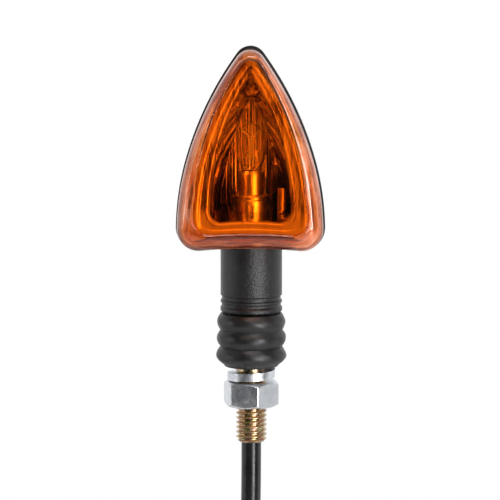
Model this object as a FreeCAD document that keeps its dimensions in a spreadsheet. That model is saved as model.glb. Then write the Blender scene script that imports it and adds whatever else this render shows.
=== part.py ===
import FreeCAD, Part
import Sketcher
import math
import os

# A motorcycle turn signal: an amber lens in a black housing, on a stem with a rubber neck that bends,
# and a hollow threaded stud that a nut and a spring washer clamp to a bracket. Millimetres.
# The frame: origin on the stud's axis in the seat's plane, +Z up the stem, and the lens faces -Y.

# Driving dimensions: each goes into a cell of the sheet, under its own name.
DRIVING_SIZES = {
    # the head's outline, seen from the front
    "head_half_width": 19.05,
    "head_widest_height": 36.5,
    "head_shoulder_height": 55.1,
    "head_low_side_radius": 67.8,
    "head_high_side_radius": 85.8,
    "head_apex_radius": 4.1,
    "head_corner_radius": 6.0,
    "head_bottom_height": 32.2,
    "head_bottom_radius": 136.0,
    # depths of the head, measured forward and back from the stem's axis
    "lens_front_depth": 20.0,
    "lens_seat_depth": 11.6,
    "housing_front_depth": 11.0,
    "housing_draft": 7.0,
    "housing_back_depth": 18.0,
    "housing_wall": 2.1,
    "housing_floor": 1.9,
    "lens_step": 0.5,
    "lens_wall": 1.8,
    "lens_rim_rounding": 3.6,
    "gasket_width": 1.5,
    "bowl_half_width": 11.1,
    "bowl_apex_height": 78.1,
    "bowl_floor_height": 38.2,
    "bowl_side_radius": 69.0,
    "bowl_corner_radius": 2.9,
    "bowl_narrowing": 2.4,
    "bowl_wall": 0.8,
    "bowl_back_depth": 9.0,
    "flange_thickness_front": 0.9,
    "flange_inset": 2.75,
    "screw_height": 80.2,
    "screw_radius": 1.2,
    "screw_head_radius": 1.8,
    # the stem and the parts that stand in it
    "stem_radius": 8.0,
    "stem_foot_height": 14.3,
    "stem_top_height": 35.3,
    "stem_root_radius": 5.2,
    "stem_root_height": 9.5,
    "stem_bore_radius": 3.9,
    "bush_radius": 6.2,
    "bush_height": 27.0,
    "holder_radius": 4.45,
    "holder_top_height": 45.3,
    "cap_radius": 3.2,
    "cap_foot_height": 35.8,
    "cap_top_height": 51.1,
    "glass_radius": 3.8,
    "glass_top_height": 70.4,
    "glass_wall": 0.45,
    "filament_height": 61.4,
    "lead_spread": 2.2,
    "spring_radius": 2.1,
    "inner_wire_radius": 0.75,
    "inner_wire_length": 4.0,
    "earth_wire_offset": 1.75,
    # the rubber neck
    "neck_height": 14.0,
    "rib_radius": 8.95,
    "valley_radius": 8.1,
    "seat_radius": 6.95,
    "seat_rim_radius": 6.45,
    "seat_recess": 0.35,
    # the stud, nut and washer
    "thread_radius": 4.0,
    "thread_pitch": 1.25,
    "thread_depth": 0.77,
    "thread_clearance": 0.09,
    "stud_length": 20.0,
    "stud_bore_radius": 2.75,
    "flange_radius": 6.2,
    "flange_thickness": 2.0,
    "nut_across_flats": 13.0,
    "nut_thickness": 6.5,
    "nut_top_drop": 4.0,
    "nut_turned": -15.0,
    "washer_inner_radius": 4.15,
    "washer_outer_radius": 6.25,
    "washer_thickness": 2.0,
    "washer_rise": 1.9,
    "washer_turned": 143.0,
    # the cable and what is on its far end
    "cable_radius": 2.6,
    "hank_top_drop": 53.0,
    "hank_length": 100.0,
    "hank_half_width": 18.8,
    "hank_half_depth": 5.7,
    "hank_corner_radius": 14.0,
    "tie_thickness": 1.2,
    "tie_width": 4.8,
    "end_sleeve_length": 16.0,
    "core_length": 35.0,
    "core_radius": 0.9,
    "core_spread": 4.1,
    "terminal_radius": 1.95,
}

doc = FreeCAD.newDocument("turn_signal")
sheet = doc.addObject("Spreadsheet::Sheet", "sizes")


class Size:
    """A dimension that a sketch can follow: its value now, and the sheet expression that it comes from."""

    def __init__(self, value, text):
        self.value = value
        self.text = text

    def join(self, other, sign, value):
        text = other.text if isinstance(other, Size) else repr(float(other))
        return Size(value, f"({self.text} {sign} {text})")

    def __add__(self, other):
        return self.join(other, "+", self.value + number(other))

    def __radd__(self, other):
        return self + other

    def __sub__(self, other):
        return self.join(other, "-", self.value - number(other))

    def __rsub__(self, other):
        return -self + other

    def __mul__(self, other):
        return self.join(other, "*", self.value * number(other))

    def __rmul__(self, other):
        return self * other

    def __truediv__(self, other):
        return self.join(other, "/", self.value / number(other))

    def __neg__(self):
        return Size(-self.value, f"(-1 * {self.text})")


def number(dimension):
    """A Size's value, or the plain number itself."""
    return dimension.value if isinstance(dimension, Size) else float(dimension)


def fill_sheet():
    """Write the driving sizes to the sheet and give them back as Size objects, by name."""
    found = {}
    for row, (name, value) in enumerate(DRIVING_SIZES.items(), start=1):
        sheet.set(f"A{row}", name)
        sheet.set(f"B{row}", str(value))
        sheet.setAlias(f"B{row}", name)
        found[name] = Size(value, f"sizes.{name}")
    doc.recompute()
    return found


S = fill_sheet()


# ---- ways of drawing -------------------------------------------------------------------------------


def new_body(name):
    body = doc.addObject("PartDesign::Body", name)
    body.Label = name
    return body


def bind(thing, prop, dimension):
    """Let a property follow the sheet, or set it where the dimension is a plain number."""
    if isinstance(dimension, Size):
        thing.setExpression(prop, dimension.text)
    else:
        setattr(thing, prop, dimension)


def new_sketch(body, name, role="XZ_Plane", offset=0.0):
    """A sketch on one of the body's own origin planes, moved along that plane's normal by the offset."""
    sketch = body.newObject("Sketcher::SketchObject", name)
    plane = [feature for feature in body.Origin.OriginFeatures if feature.Role == role][0]
    sketch.AttachmentSupport = [(plane, "")]
    sketch.MapMode = "FlatFace"
    shift = FreeCAD.Vector(0, 0, number(offset))
    sketch.AttachmentOffset = FreeCAD.Placement(shift, FreeCAD.Rotation())
    if isinstance(offset, Size):
        sketch.setExpression("AttachmentOffset.Base.z", offset.text)
    return sketch


def constrain(sketch, kind, places, dimension):
    """Add a constraint with a size, and let it follow the sheet."""
    index = sketch.addConstraint(Sketcher.Constraint(kind, *places, number(dimension)))
    if isinstance(dimension, Size):
        sketch.setExpression(f"Constraints[{index}]", dimension.text)


def pin_point(sketch, geometry, end, x, y):
    """Hold one point of the sketch at x, y from its origin."""
    for kind, place, axis in (("DistanceX", x, -2), ("DistanceY", y, -1)):
        if abs(number(place)) < 1e-9:
            sketch.addConstraint(Sketcher.Constraint("PointOnObject", geometry, end, axis))
        elif number(place) > 0:
            constrain(sketch, kind, (-1, 1, geometry, end), place)
        else:
            constrain(sketch, kind, (geometry, end, -1, 1), -place)


def arc_middle(start, stop, radius):
    """The middle of the arc from start to stop, on the left of the way there when the radius is positive."""
    chord = stop - start
    half = chord.Length / 2
    sagitta = abs(radius) - math.sqrt(max(radius * radius - half * half, 0.0))
    outward = FreeCAD.Vector(chord.y, -chord.x, 0) * (math.copysign(1.0, radius) / chord.Length)
    return (start + stop) * 0.5 + outward * sagitta


def draw_outline(sketch, corners):
    """A closed outline through the corners, each (x, y) or (x, y, radius of the arc to the next corner).

    A positive radius turns left, so on an outline drawn anticlockwise it bulges outwards.
    """
    points = [FreeCAD.Vector(number(corner[0]), number(corner[1]), 0) for corner in corners]
    edges = []
    for index, corner in enumerate(corners):
        start = points[index]
        stop = points[(index + 1) % len(points)]
        if len(corner) == 2:
            edge = sketch.addGeometry(Part.LineSegment(start, stop))
            edges.append((edge, 1, 2))
            continue
        bend = number(corner[2])
        edge = sketch.addGeometry(Part.Arc(start, arc_middle(start, stop, bend), stop))
        edges.append((edge, 1, 2) if bend > 0 else (edge, 2, 1))
        constrain(sketch, "Radius", (edge,), corner[2] if bend > 0 else -corner[2])
    for index, (edge, first, _) in enumerate(edges):
        before, _, last = edges[index - 1]
        sketch.addConstraint(Sketcher.Constraint("Coincident", before, last, edge, first))
        pin_point(sketch, edge, first, corners[index][0], corners[index][1])


def draw_circle(sketch, x, y, radius):
    centre = FreeCAD.Vector(number(x), number(y), 0)
    circle = sketch.addGeometry(Part.Circle(centre, FreeCAD.Vector(0, 0, 1), number(radius)))
    constrain(sketch, "Radius", (circle,), radius)
    pin_point(sketch, circle, 3, x, y)


def revolve(body, name, corners, kind="PartDesign::Revolution"):
    """Turn an outline of (radius, height) corners about the Z axis, to add it or, as a groove, to cut it."""
    sketch = new_sketch(body, name + "_profile")
    draw_outline(sketch, corners)
    feature = body.newObject(kind, name)
    feature.Profile = sketch
    feature.ReferenceAxis = (sketch, ["V_Axis"])
    feature.Angle = 360
    doc.recompute()
    return feature


def extrude(body, name, sketch, length, kind="PartDesign::Pad", backward=False):
    feature = body.newObject(kind, name)
    feature.Profile = sketch
    bind(feature, "Length", length)
    feature.Reversed = backward
    doc.recompute()
    return feature


def loft(body, name, sketches, kind="PartDesign::AdditiveLoft"):
    feature = body.newObject(kind, name)
    feature.Profile = sketches[0]
    feature.Sections = sketches[1:]
    doc.recompute()
    return feature


def wind(body, name, corners, pitch, height, kind):
    """Sweep an outline of (radius, height) corners along a right-hand helix about the Z axis."""
    sketch = new_sketch(body, name + "_profile")
    draw_outline(sketch, corners)
    feature = body.newObject(kind, name)
    feature.Profile = (sketch, [""])
    feature.ReferenceAxis = (sketch, ["V_Axis"])
    feature.Mode = 0
    bind(feature, "Pitch", pitch)
    bind(feature, "Height", height)
    doc.recompute()
    return feature


def edges_where(feature, wanted):
    """Names of the feature's edges that the test accepts."""
    return [f"Edge{i}" for i, edge in enumerate(feature.Shape.Edges, start=1) if wanted(edge)]


def round_edges(body, name, feature, radius, wanted, kind="PartDesign::Fillet"):
    """Round, or with the other kind chamfer, the edges that the test accepts."""
    dressed = body.newObject(kind, name)
    dressed.Base = (feature, edges_where(feature, wanted))
    bind(dressed, "Radius" if kind == "PartDesign::Fillet" else "Size", radius)
    doc.recompute()
    return dressed


def circle_at(radius, height, slack=0.02):
    """A test for a circular edge about the Z axis, of this radius at this height."""

    def wanted(edge):
        if not hasattr(edge.Curve, "Radius"):
            return False
        centre = edge.Curve.Center
        flat = abs(centre.z - number(height)) < slack and math.hypot(centre.x, centre.y) < slack
        return flat and abs(edge.Curve.Radius - number(radius)) < slack

    return wanted


# ---- the head's outline ----------------------------------------------------------------------------


def circles_meet(first, first_radius, second, second_radius, choose):
    """Where two circles cross, the crossing for which choose gives the larger number."""
    across = second - first
    gap = across.Length
    along = (gap * gap + first_radius**2 - second_radius**2) / (2 * gap)
    aside = math.sqrt(first_radius**2 - along**2)
    unit = across / gap
    side = FreeCAD.Vector(-unit.y, unit.x, 0)
    crossings = [first + unit * along + side * aside, first + unit * along - side * aside]
    return max(crossings, key=choose)


def draw_head_outline(sketch, inset, floor_inset, apex_radius, corner_radius):
    """The rounded arrowhead, drawn inside the housing's own outline by an inset, with another at its bottom.

    Anticlockwise from the right: low side, high side, apex, the two left sides, corner, bottom, corner.
    Each arc runs smoothly into the next, so the radii and a few centres settle the whole outline.
    """
    low_radius = S["head_low_side_radius"] - inset
    high_radius = S["head_high_side_radius"] - inset
    bottom_radius = S["head_bottom_radius"] + floor_inset
    low_x = S["head_half_width"] - S["head_low_side_radius"]
    low_y = S["head_widest_height"]
    bottom_y = S["head_bottom_height"] - S["head_bottom_radius"]
    rise = (S["head_shoulder_height"] - low_y) / S["head_low_side_radius"]
    shoulder_y = low_y + low_radius * rise
    # where the arcs start and stop now, for the solver to begin with
    low_centre = FreeCAD.Vector(number(low_x), number(low_y), 0)
    slope = FreeCAD.Vector(math.sqrt(1 - rise.value**2), rise.value, 0)
    shoulder = low_centre + slope * low_radius.value
    high_centre = shoulder - slope * high_radius.value
    reach = high_radius.value - number(apex_radius)
    apex_centre = FreeCAD.Vector(0, high_centre.y + math.sqrt(reach**2 - high_centre.x**2), 0)
    apex_edge = high_centre + (apex_centre - high_centre).normalize() * high_radius.value
    bottom_centre = FreeCAD.Vector(0, number(bottom_y), 0)
    corner_centre = circles_meet(
        low_centre,
        low_radius.value - number(corner_radius),
        bottom_centre,
        bottom_radius.value + number(corner_radius),
        lambda point: point.x,
    )
    corner_side = low_centre + (corner_centre - low_centre).normalize() * low_radius.value
    corner_foot = bottom_centre + (corner_centre - bottom_centre).normalize() * bottom_radius.value

    def mirrored(point):
        return FreeCAD.Vector(-point.x, point.y, 0)

    stops = [
        (corner_side, shoulder, low_radius),
        (shoulder, apex_edge, high_radius),
        (apex_edge, mirrored(apex_edge), apex_radius),
        (mirrored(apex_edge), mirrored(shoulder), high_radius),
        (mirrored(shoulder), mirrored(corner_side), low_radius),
        (mirrored(corner_side), mirrored(corner_foot), corner_radius),
        (mirrored(corner_foot), corner_foot, -bottom_radius),
        (corner_foot, corner_side, corner_radius),
    ]
    arcs = []
    for start, stop, radius in stops:
        arcs.append(sketch.addGeometry(Part.Arc(start, arc_middle(start, stop, number(radius)), stop)))
    ends = [(1, 2)] * 6 + [(2, 1), (1, 2)]
    for index, arc in enumerate(arcs):
        before = arcs[index - 1]
        tangent = Sketcher.Constraint("Tangent", before, ends[index - 1][1], arc, ends[index][0])
        sketch.addConstraint(tangent)
    for arc, (_, _, radius) in zip(arcs, stops):
        constrain(sketch, "Radius", (arc,), radius if number(radius) > 0 else -radius)
    right_low = arcs[0]
    left_low = arcs[4]
    bottom = arcs[6]
    pin_point(sketch, right_low, 3, low_x, low_y)
    pin_point(sketch, left_low, 3, -low_x, low_y)
    constrain(sketch, "DistanceY", (-1, 1, right_low, 2), shoulder_y)
    constrain(sketch, "DistanceY", (-1, 1, left_low, 1), shoulder_y)
    pin_point(sketch, bottom, 3, 0, bottom_y)


def head_sketch(body, name, depth, inset, floor_inset, apex_radius=None, corner_radius=None):
    """A sketch of the head's outline in the plane y = -depth."""
    sketch = new_sketch(body, name, offset=depth)
    apex_radius = apex_radius or S["head_apex_radius"] - inset
    corner_radius = corner_radius or S["head_corner_radius"] - inset
    draw_head_outline(sketch, inset, floor_inset, apex_radius, corner_radius)
    return sketch


# the housing's sections from its front edge to its back: how far back, and how much of the draft
HOUSING_SECTIONS = [
    (0.0, 0.0),
    (0.2, 0.03),
    (0.4, 0.08),
    (0.56, 0.16),
    (0.72, 0.32),
    (0.87, 0.58),
    (1.0, 1.0),
]


# ---- the head ----------------------------------------------------------------------------------------


def make_rear_housing():
    """A moulded shell: straight-walled behind the lens and domed at the back, with a hole for the stem."""
    body = new_body("rear_housing")
    wall = S["housing_wall"]
    floor = S["housing_floor"]
    outer = []
    inner = []
    for index, (share, draft) in enumerate(HOUSING_SECTIONS):
        front = S["housing_front_depth"]
        depth = front - (front + S["housing_back_depth"]) * share
        inner_depth = front - (front + S["housing_back_depth"] - wall) * share
        inset = S["housing_draft"] * draft
        tip = max(1.3, S["head_apex_radius"].value - inset.value)
        corner = max(1.0, S["head_corner_radius"].value - inset.value)
        outer.append(head_sketch(body, f"outer_{index}", depth, inset, inset, tip, corner))
        inner.append(head_sketch(body, f"inner_{index}", inner_depth, inset + wall, inset + floor,
                                 max(0.8, tip - 1.5), max(0.8, corner - 1.8)))
    loft(body, "outside", outer)
    loft(body, "inside", inner, "PartDesign::SubtractiveLoft")
    hole = new_sketch(body, "stem_hole_outline", "XY_Plane")
    draw_circle(hole, 0, 0, S["stem_radius"] + 0.02)
    extrude(body, "stem_hole", hole, S["stem_top_height"], "PartDesign::Pocket", backward=True)
    # the screw comes in from behind, to a seat just behind the lens
    tunnel = new_sketch(body, "screw_hole_outline", offset=S["housing_front_depth"] + 1.0)
    draw_circle(tunnel, 0, S["screw_height"], S["screw_radius"] + 0.15)
    extrude(body, "screw_hole", tunnel, 40.0, "PartDesign::Pocket")
    seat = new_sketch(body, "screw_seat_outline", offset=S["housing_front_depth"] - 5.0)
    draw_circle(seat, 0, S["screw_height"], S["screw_head_radius"] + 0.1)
    extrude(body, "screw_seat", seat, 40.0, "PartDesign::Pocket")
    return body


def make_lens():
    """A clear cup with a rounded rim, open at the back, with a post for the screw under its apex."""
    body = new_body("lens")
    step = S["lens_step"]
    depth = S["lens_front_depth"] - S["lens_seat_depth"]
    outside = head_sketch(body, "outside_outline", S["lens_seat_depth"], step, step)
    block = extrude(body, "block", outside, depth)
    front = -S["lens_front_depth"].value
    round_edges(
        body, "rim_rounding", block, S["lens_rim_rounding"],
        lambda edge: all(abs(vertex.Y - front) < 0.01 for vertex in edge.Vertexes),
    )
    inset = step + S["lens_wall"]
    inside = head_sketch(body, "inside_outline", S["lens_seat_depth"], inset, inset,
                         S["head_apex_radius"] - inset, S["head_corner_radius"] - inset)
    cup = extrude(body, "cup", inside, depth - S["lens_wall"], "PartDesign::Pocket", backward=True)
    inner_front = front + S["lens_wall"].value
    round_edges(
        body, "cup_rounding", cup, 1.2,
        lambda edge: all(abs(vertex.Y - inner_front) < 0.01 for vertex in edge.Vertexes),
    )
    post = new_sketch(body, "post_outline", offset=S["lens_seat_depth"])
    draw_circle(post, 0, S["screw_height"], S["screw_radius"] + 0.55)
    extrude(body, "post", post, depth - 1.0)
    pilot = new_sketch(body, "pilot_outline", offset=S["lens_seat_depth"])
    draw_circle(pilot, 0, S["screw_height"], S["screw_radius"])
    extrude(body, "pilot_hole", pilot, 5.2, "PartDesign::Pocket", backward=True)
    return body


def make_lens_gasket():
    """A flat rubber ring between the housing's front edge and the lens."""
    body = new_body("lens_gasket")
    inset = S["lens_step"] + 0.05
    ring = S["gasket_width"]
    depth = S["lens_seat_depth"] - S["housing_front_depth"]
    outside = head_sketch(body, "outside_outline", S["housing_front_depth"], inset, inset)
    extrude(body, "sheet", outside, depth)
    inside = head_sketch(body, "inside_outline", S["housing_front_depth"], inset + ring, inset + ring,
                         S["head_apex_radius"] - 2.2, S["head_corner_radius"] - 2.2)
    extrude(body, "opening", inside, depth, "PartDesign::Pocket", backward=True)
    return body


def bowl_sketch(body, name, depth, inset):
    """The bowl's outline in the plane y = -depth: a pointed arch on a floor with a slight rise."""
    sketch = new_sketch(body, name, offset=depth)
    half = S["bowl_half_width"] - inset
    floor = S["bowl_floor_height"] + inset * 0.6
    corner = S["bowl_corner_radius"]
    side = S["bowl_side_radius"]
    draw_outline(sketch, [
        (half, floor + corner, side),
        (0, S["bowl_apex_height"] - inset * 0.8, side),
        (-half, floor + corner, corner),
        (corner - half, floor, -S["head_bottom_radius"] / 2),
        (half - corner, floor, corner),
    ])
    return sketch


def make_reflector():
    """A bright bowl behind a flat flange, with a notch for the lens post and a hole for the bulb holder."""
    body = new_body("reflector")
    wall = S["bowl_wall"]
    seat = S["lens_seat_depth"]
    thick = S["flange_thickness_front"]
    back = -S["bowl_back_depth"]
    plate = head_sketch(body, "flange_outline", seat, S["flange_inset"], S["flange_inset"], 1.9, 1.0)
    extrude(body, "flange", plate, thick)
    outer = [
        bowl_sketch(body, "bowl_outer_front", seat + thick / 2, -wall),
        bowl_sketch(body, "bowl_outer_back", back - wall, S["bowl_narrowing"] - wall),
    ]
    loft(body, "bowl_outside", outer)
    inner = [
        bowl_sketch(body, "bowl_inner_front", seat + thick, 0.0),
        bowl_sketch(body, "bowl_inner_back", back, S["bowl_narrowing"]),
    ]
    loft(body, "bowl_inside", inner, "PartDesign::SubtractiveLoft")
    hole = new_sketch(body, "holder_hole_outline", "XY_Plane", offset=S["head_bottom_height"])
    draw_circle(hole, 0, 0, S["holder_radius"] + 0.4)
    extrude(body, "holder_hole", hole, 12.0, "PartDesign::Pocket", backward=True)
    notch = new_sketch(body, "notch_outline", offset=seat - 0.5)
    draw_circle(notch, 0, S["screw_height"], S["screw_radius"] + 0.9)
    extrude(body, "notch", notch, 3.0, "PartDesign::Pocket", backward=True)
    return body


def make_lens_screw():
    """A small pan-head screw, from behind the housing's seat into the lens post."""
    body = new_body("lens_screw")
    length = 12.0
    head = new_sketch(body, "head_outline", offset=S["housing_front_depth"] - 7.0)
    draw_circle(head, 0, S["screw_height"], S["screw_head_radius"])
    extrude(body, "head", head, 1.95)
    shank = new_sketch(body, "shank_outline", offset=S["housing_front_depth"] - 6.0)
    draw_circle(shank, 0, S["screw_height"], S["screw_radius"] - 0.02)
    extrude(body, "shank", shank, length - 1.0)
    slot = new_sketch(body, "slot_outline", offset=S["housing_front_depth"] - 7.0)
    low = S["screw_height"] - 0.25
    high = S["screw_height"] + 0.25
    draw_outline(slot, [(-1.5, low), (1.5, low), (1.5, high), (-1.5, high)])
    extrude(body, "slot", slot, 0.9, "PartDesign::Pocket", backward=True)
    return body


# ---- the stem and the bulb in it --------------------------------------------------------------------


def make_stem_tube():
    """The stem: a barbed root in the rubber, two grooves near the foot, and a flange inside the housing."""
    body = new_body("stem_tube")
    radius = S["stem_radius"]
    foot = S["stem_foot_height"]
    top = S["stem_top_height"]
    root = S["stem_root_radius"]
    low = S["stem_root_height"]
    bore = S["stem_bore_radius"]
    bush = S["bush_radius"]
    corners = [
        (bore, low),
        (root - 0.5, low),
        (root, low + 0.8),
        (root, low + 1.6),
        (root - 0.5, low + 1.9),
        (root - 0.5, foot),
        (radius - 0.4, foot),
        (radius + 0.05, foot + 0.4),
        (radius + 0.05, foot + 1.2),
        (radius - 0.3, foot + 1.7),
        (radius - 0.3, foot + 2.3),
        (radius, foot + 2.6),
        (radius, foot + 3.1),
        (radius - 0.35, foot + 3.3),
        (radius - 0.35, foot + 4.2),
        (radius, foot + 4.5),
        (radius, S["head_bottom_height"] + S["housing_floor"] + 0.02),
        (radius + 1.2, S["head_bottom_height"] + S["housing_floor"] + 0.02),
        (radius + 1.2, top),
        (bush, top),
        (bush, S["bush_height"]),
        (bore, S["bush_height"] - 2.3),
    ]
    revolve(body, "turned", corners)
    return body


def make_socket_bush():
    """The black insulating bush that holds the bulb holder in the stem's top."""
    body = new_body("socket_bush")
    low = S["bush_height"]
    holder = S["holder_radius"]
    corners = [
        (1.0, low),
        (S["bush_radius"], low),
        (S["bush_radius"], S["stem_top_height"]),
        (holder, S["stem_top_height"]),
        (holder, low + 1.5),
        (1.0, low + 1.5),
    ]
    revolve(body, "turned", corners)
    return body


def make_socket_shell():
    """The bulb holder's brass shell, with a rolled mouth and two slots for the cap's pins."""
    body = new_body("socket_shell")
    outer = S["holder_radius"]
    inner = S["cap_radius"] + 0.35
    low = S["bush_height"] + 1.5
    top = S["holder_top_height"]
    corners = [
        (inner, low),
        (outer, low),
        (outer, top - 1.6),
        (outer - 0.25, top - 1.3),
        (outer - 0.25, top - 0.9),
        (outer, top - 0.6, 0.6),
        (inner, top - 0.2),
    ]
    revolve(body, "drawn", corners)
    slot = new_sketch(body, "slot_outline", offset=8.0)
    half = 0.75
    draw_outline(slot, [(-half, top - 7.0), (half + 1.2, top - 7.0), (half + 1.2, top - 5.4),
                        (half, top - 5.4), (half, top - 2.6), (-half, top - 2.6)])
    extrude(body, "pin_slots", slot, 16.0, "PartDesign::Pocket")
    return body


def make_socket_insulator():
    """The fibre disc that carries the plunger."""
    body = new_body("socket_insulator")
    low = S["cap_foot_height"] - 2.9
    corners = [(0.95, low), (3.2, low), (3.2, low + 1.0), (0.95, low + 1.0)]
    revolve(body, "disc", corners)
    return body


def make_socket_plunger():
    """The brass contact that the spring pushes up against the bulb."""
    body = new_body("socket_plunger")
    low = S["bush_height"] - 0.8
    disc = S["cap_foot_height"] - 1.9
    corners = [(0, low), (0.9, low), (0.9, disc), (1.6, disc), (1.6, disc + 0.5), (0, disc + 0.5)]
    revolve(body, "turned", corners)
    return body


def make_socket_spring():
    """The coil spring under the fibre disc."""
    body = new_body("socket_spring")
    wire = 0.25
    low = S["bush_height"] + 1.8
    middle = S["spring_radius"]
    corners = [
        (middle - wire, low),
        (middle, low - wire),
        (middle + wire, low),
        (middle, low + wire),
    ]
    height = S["cap_foot_height"] - S["bush_height"] - 5.05
    wind(body, "coil", corners, 1.0, height, "PartDesign::AdditiveHelix")
    return body


def make_bulb_cap():
    """The bulb's metal cap, open at the top, with a pin each side."""
    body = new_body("bulb_cap")
    radius = S["cap_radius"]
    low = S["cap_foot_height"]
    top = S["cap_top_height"]
    corners = [
        (2.4, low),
        (radius - 0.2, low),
        (radius, low + 0.3),
        (radius, top - 0.8),
        (radius - 0.25, top),
        (radius - 0.6, top),
        (radius - 0.4, low + 0.5),
        (2.4, low + 0.5),
    ]
    revolve(body, "drawn", corners)
    pins = new_sketch(body, "pin_outline", offset=radius + 0.7)
    draw_circle(pins, 0, S["holder_top_height"] - 6.2, 0.6)
    extrude(body, "front_pin", pins, 1.0, backward=True)
    other = new_sketch(body, "other_pin_outline", offset=-radius - 0.7)
    draw_circle(other, 0, S["holder_top_height"] - 6.2, 0.6)
    extrude(body, "back_pin", other, 1.0)
    return body


def make_bulb_insulator():
    """The black glass in the cap's foot."""
    body = new_body("bulb_insulator")
    low = S["cap_foot_height"]
    corners = [(0.0, low - 0.4), (1.0, low - 0.4), (2.4, low), (2.4, low + 0.5), (0.0, low + 0.5)]
    revolve(body, "poured", corners)
    return body


def make_bulb_contact():
    """The solder tip under the cap."""
    body = new_body("bulb_contact")
    low = S["cap_foot_height"] - 0.4
    corners = [(0.0, low - 0.75), (0.5, low - 0.7), (0.95, low), (0.0, low)]
    revolve(body, "tip", corners)
    return body


def make_bulb_glass():
    """The thin glass: a narrow neck in the cap, a straight barrel and a round top."""
    body = new_body("bulb_glass")
    radius = S["glass_radius"]
    wall = S["glass_wall"]
    neck = S["cap_radius"] - 0.65
    low = S["cap_top_height"]
    top = S["glass_top_height"]
    corners = [
        (neck - wall, low - 5.0),
        (neck, low - 5.0),
        (neck, low + 0.6),
        (radius, low + 4.6),
        (radius, top - radius, radius),
        (0, top),
        (0, top - wall, wall - radius),
        (radius - wall, top - radius),
        (radius - wall, low + 4.8),
        (neck - wall, low + 0.8),
    ]
    revolve(body, "blown", corners)
    return body


def make_bulb_bead():
    """The glass bead that holds the wires apart."""
    body = new_body("bulb_bead")
    low = S["cap_top_height"] + 3.0
    corners = [(0, low), (1.1, low + 0.2), (1.5, low + 0.8), (1.1, low + 1.4), (0, low + 1.6)]
    revolve(body, "bead", corners)
    return body


def rounded_path(points):
    """Straight runs joined by tangent arcs, as large as their runs allow. Returns wire, length and radii."""
    reach = 0.45
    edges = []
    radii = []
    start = points[0]
    for before, corner, after in zip(points, points[1:], points[2:]):
        back = (before - corner).normalize()
        ahead = (after - corner).normalize()
        turn = math.pi - back.getAngle(ahead)
        cut = reach * min((before - corner).Length, (after - corner).Length)
        radius = cut / math.tan(turn / 2)
        radii.append(radius)
        entry = corner + back * cut
        leave = corner + ahead * cut
        inward = (back + ahead).normalize()
        middle = corner + inward * (math.hypot(radius, cut) - radius)
        edges.append(Part.LineSegment(start, entry).toShape())
        edges.append(Part.Arc(entry, middle, leave).toShape())
        start = leave
    edges.append(Part.LineSegment(start, points[-1]).toShape())
    return Part.Wire(edges), sum(edge.Length for edge in edges), radii


def make_tube(name, points, radius):
    """A round rod along a route of straight runs and tangent arcs, with its radii and volume printed."""
    route = [FreeCAD.Vector(*point) for point in points]
    path, length, radii = rounded_path(route)
    across = Part.makeCircle(number(radius), route[0], route[1] - route[0])
    solid = path.makePipeShell([Part.Wire(across)], True, True)
    feature = doc.addObject("Part::Feature", name)
    feature.Label = name
    feature.Shape = solid
    share = solid.Volume / (math.pi * number(radius) ** 2 * length)
    bends = ", ".join(f"{bend:.1f}" for bend in radii)
    print(f"{name}: {length:.1f} mm long, bend radii {bends} mm, {share:.4f} of a rod's volume")
    return feature


def make_bulb_wires():
    """Two lead wires that stand close to a middle post and part like a Y under the filament."""
    low = S["cap_top_height"].value + 1.2
    wire = 0.2
    beside = 0.42
    top = S["filament_height"].value
    spread = S["lead_spread"].value
    solids = []
    for side in (-1, 1):
        route = [(side * beside, 0, low), (side * beside, 0, top - 1.2), (side * spread, 0, top)]
        path, _, _ = rounded_path([FreeCAD.Vector(*point) for point in route])
        across = Part.Wire(Part.makeCircle(wire, FreeCAD.Vector(*route[0])))
        solids.append(path.makePipeShell([across], True, True))
    solids.append(Part.makeCylinder(wire, top + 1.4 - low - 2.6, FreeCAD.Vector(0, 0, low + 2.6)))
    feature = doc.addObject("Part::Feature", "bulb_wires")
    feature.Label = "bulb_wires"
    feature.Shape = Part.makeCompound(solids)
    return feature


def make_bulb_filament():
    """The coiled filament, as the arched rod that its coil fills, from one lead's tip to the other's."""
    coil = 0.32
    ends = S["lead_spread"].value
    height = S["filament_height"].value
    foot = FreeCAD.Vector(-ends, 0, height)
    crown = FreeCAD.Vector(0, 0, height + 1.7)
    arch = Part.Arc(foot, crown, FreeCAD.Vector(ends, 0, height))
    across = Part.Wire(Part.makeCircle(coil, foot, arch.tangent(arch.FirstParameter)[0]))
    feature = doc.addObject("Part::Feature", "bulb_filament")
    feature.Label = "bulb_filament"
    feature.Shape = Part.Wire(arch.toShape()).makePipeShell([across], True, True)
    return feature


def make_earth_strip():
    """A narrow brass strip that stands at the right of the bowl, with a rivet through it."""
    body = new_body("earth_strip")
    strip = new_sketch(body, "strip_outline", offset=8.0)
    left = 6.8
    right = 8.8
    low = S["bowl_floor_height"] + 1.2
    draw_outline(strip, [(left, low), (right, low), (right, low + 8.0), (left, low + 8.0)])
    extrude(body, "strip", strip, 0.4)
    rivet = new_sketch(body, "rivet_outline", offset=7.7)
    draw_circle(rivet, 7.8, low + 1.6, 0.65)
    extrude(body, "rivet", rivet, 1.1)
    return body


# ---- the rubber neck, the stud and the cable ----------------------------------------------------------


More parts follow.
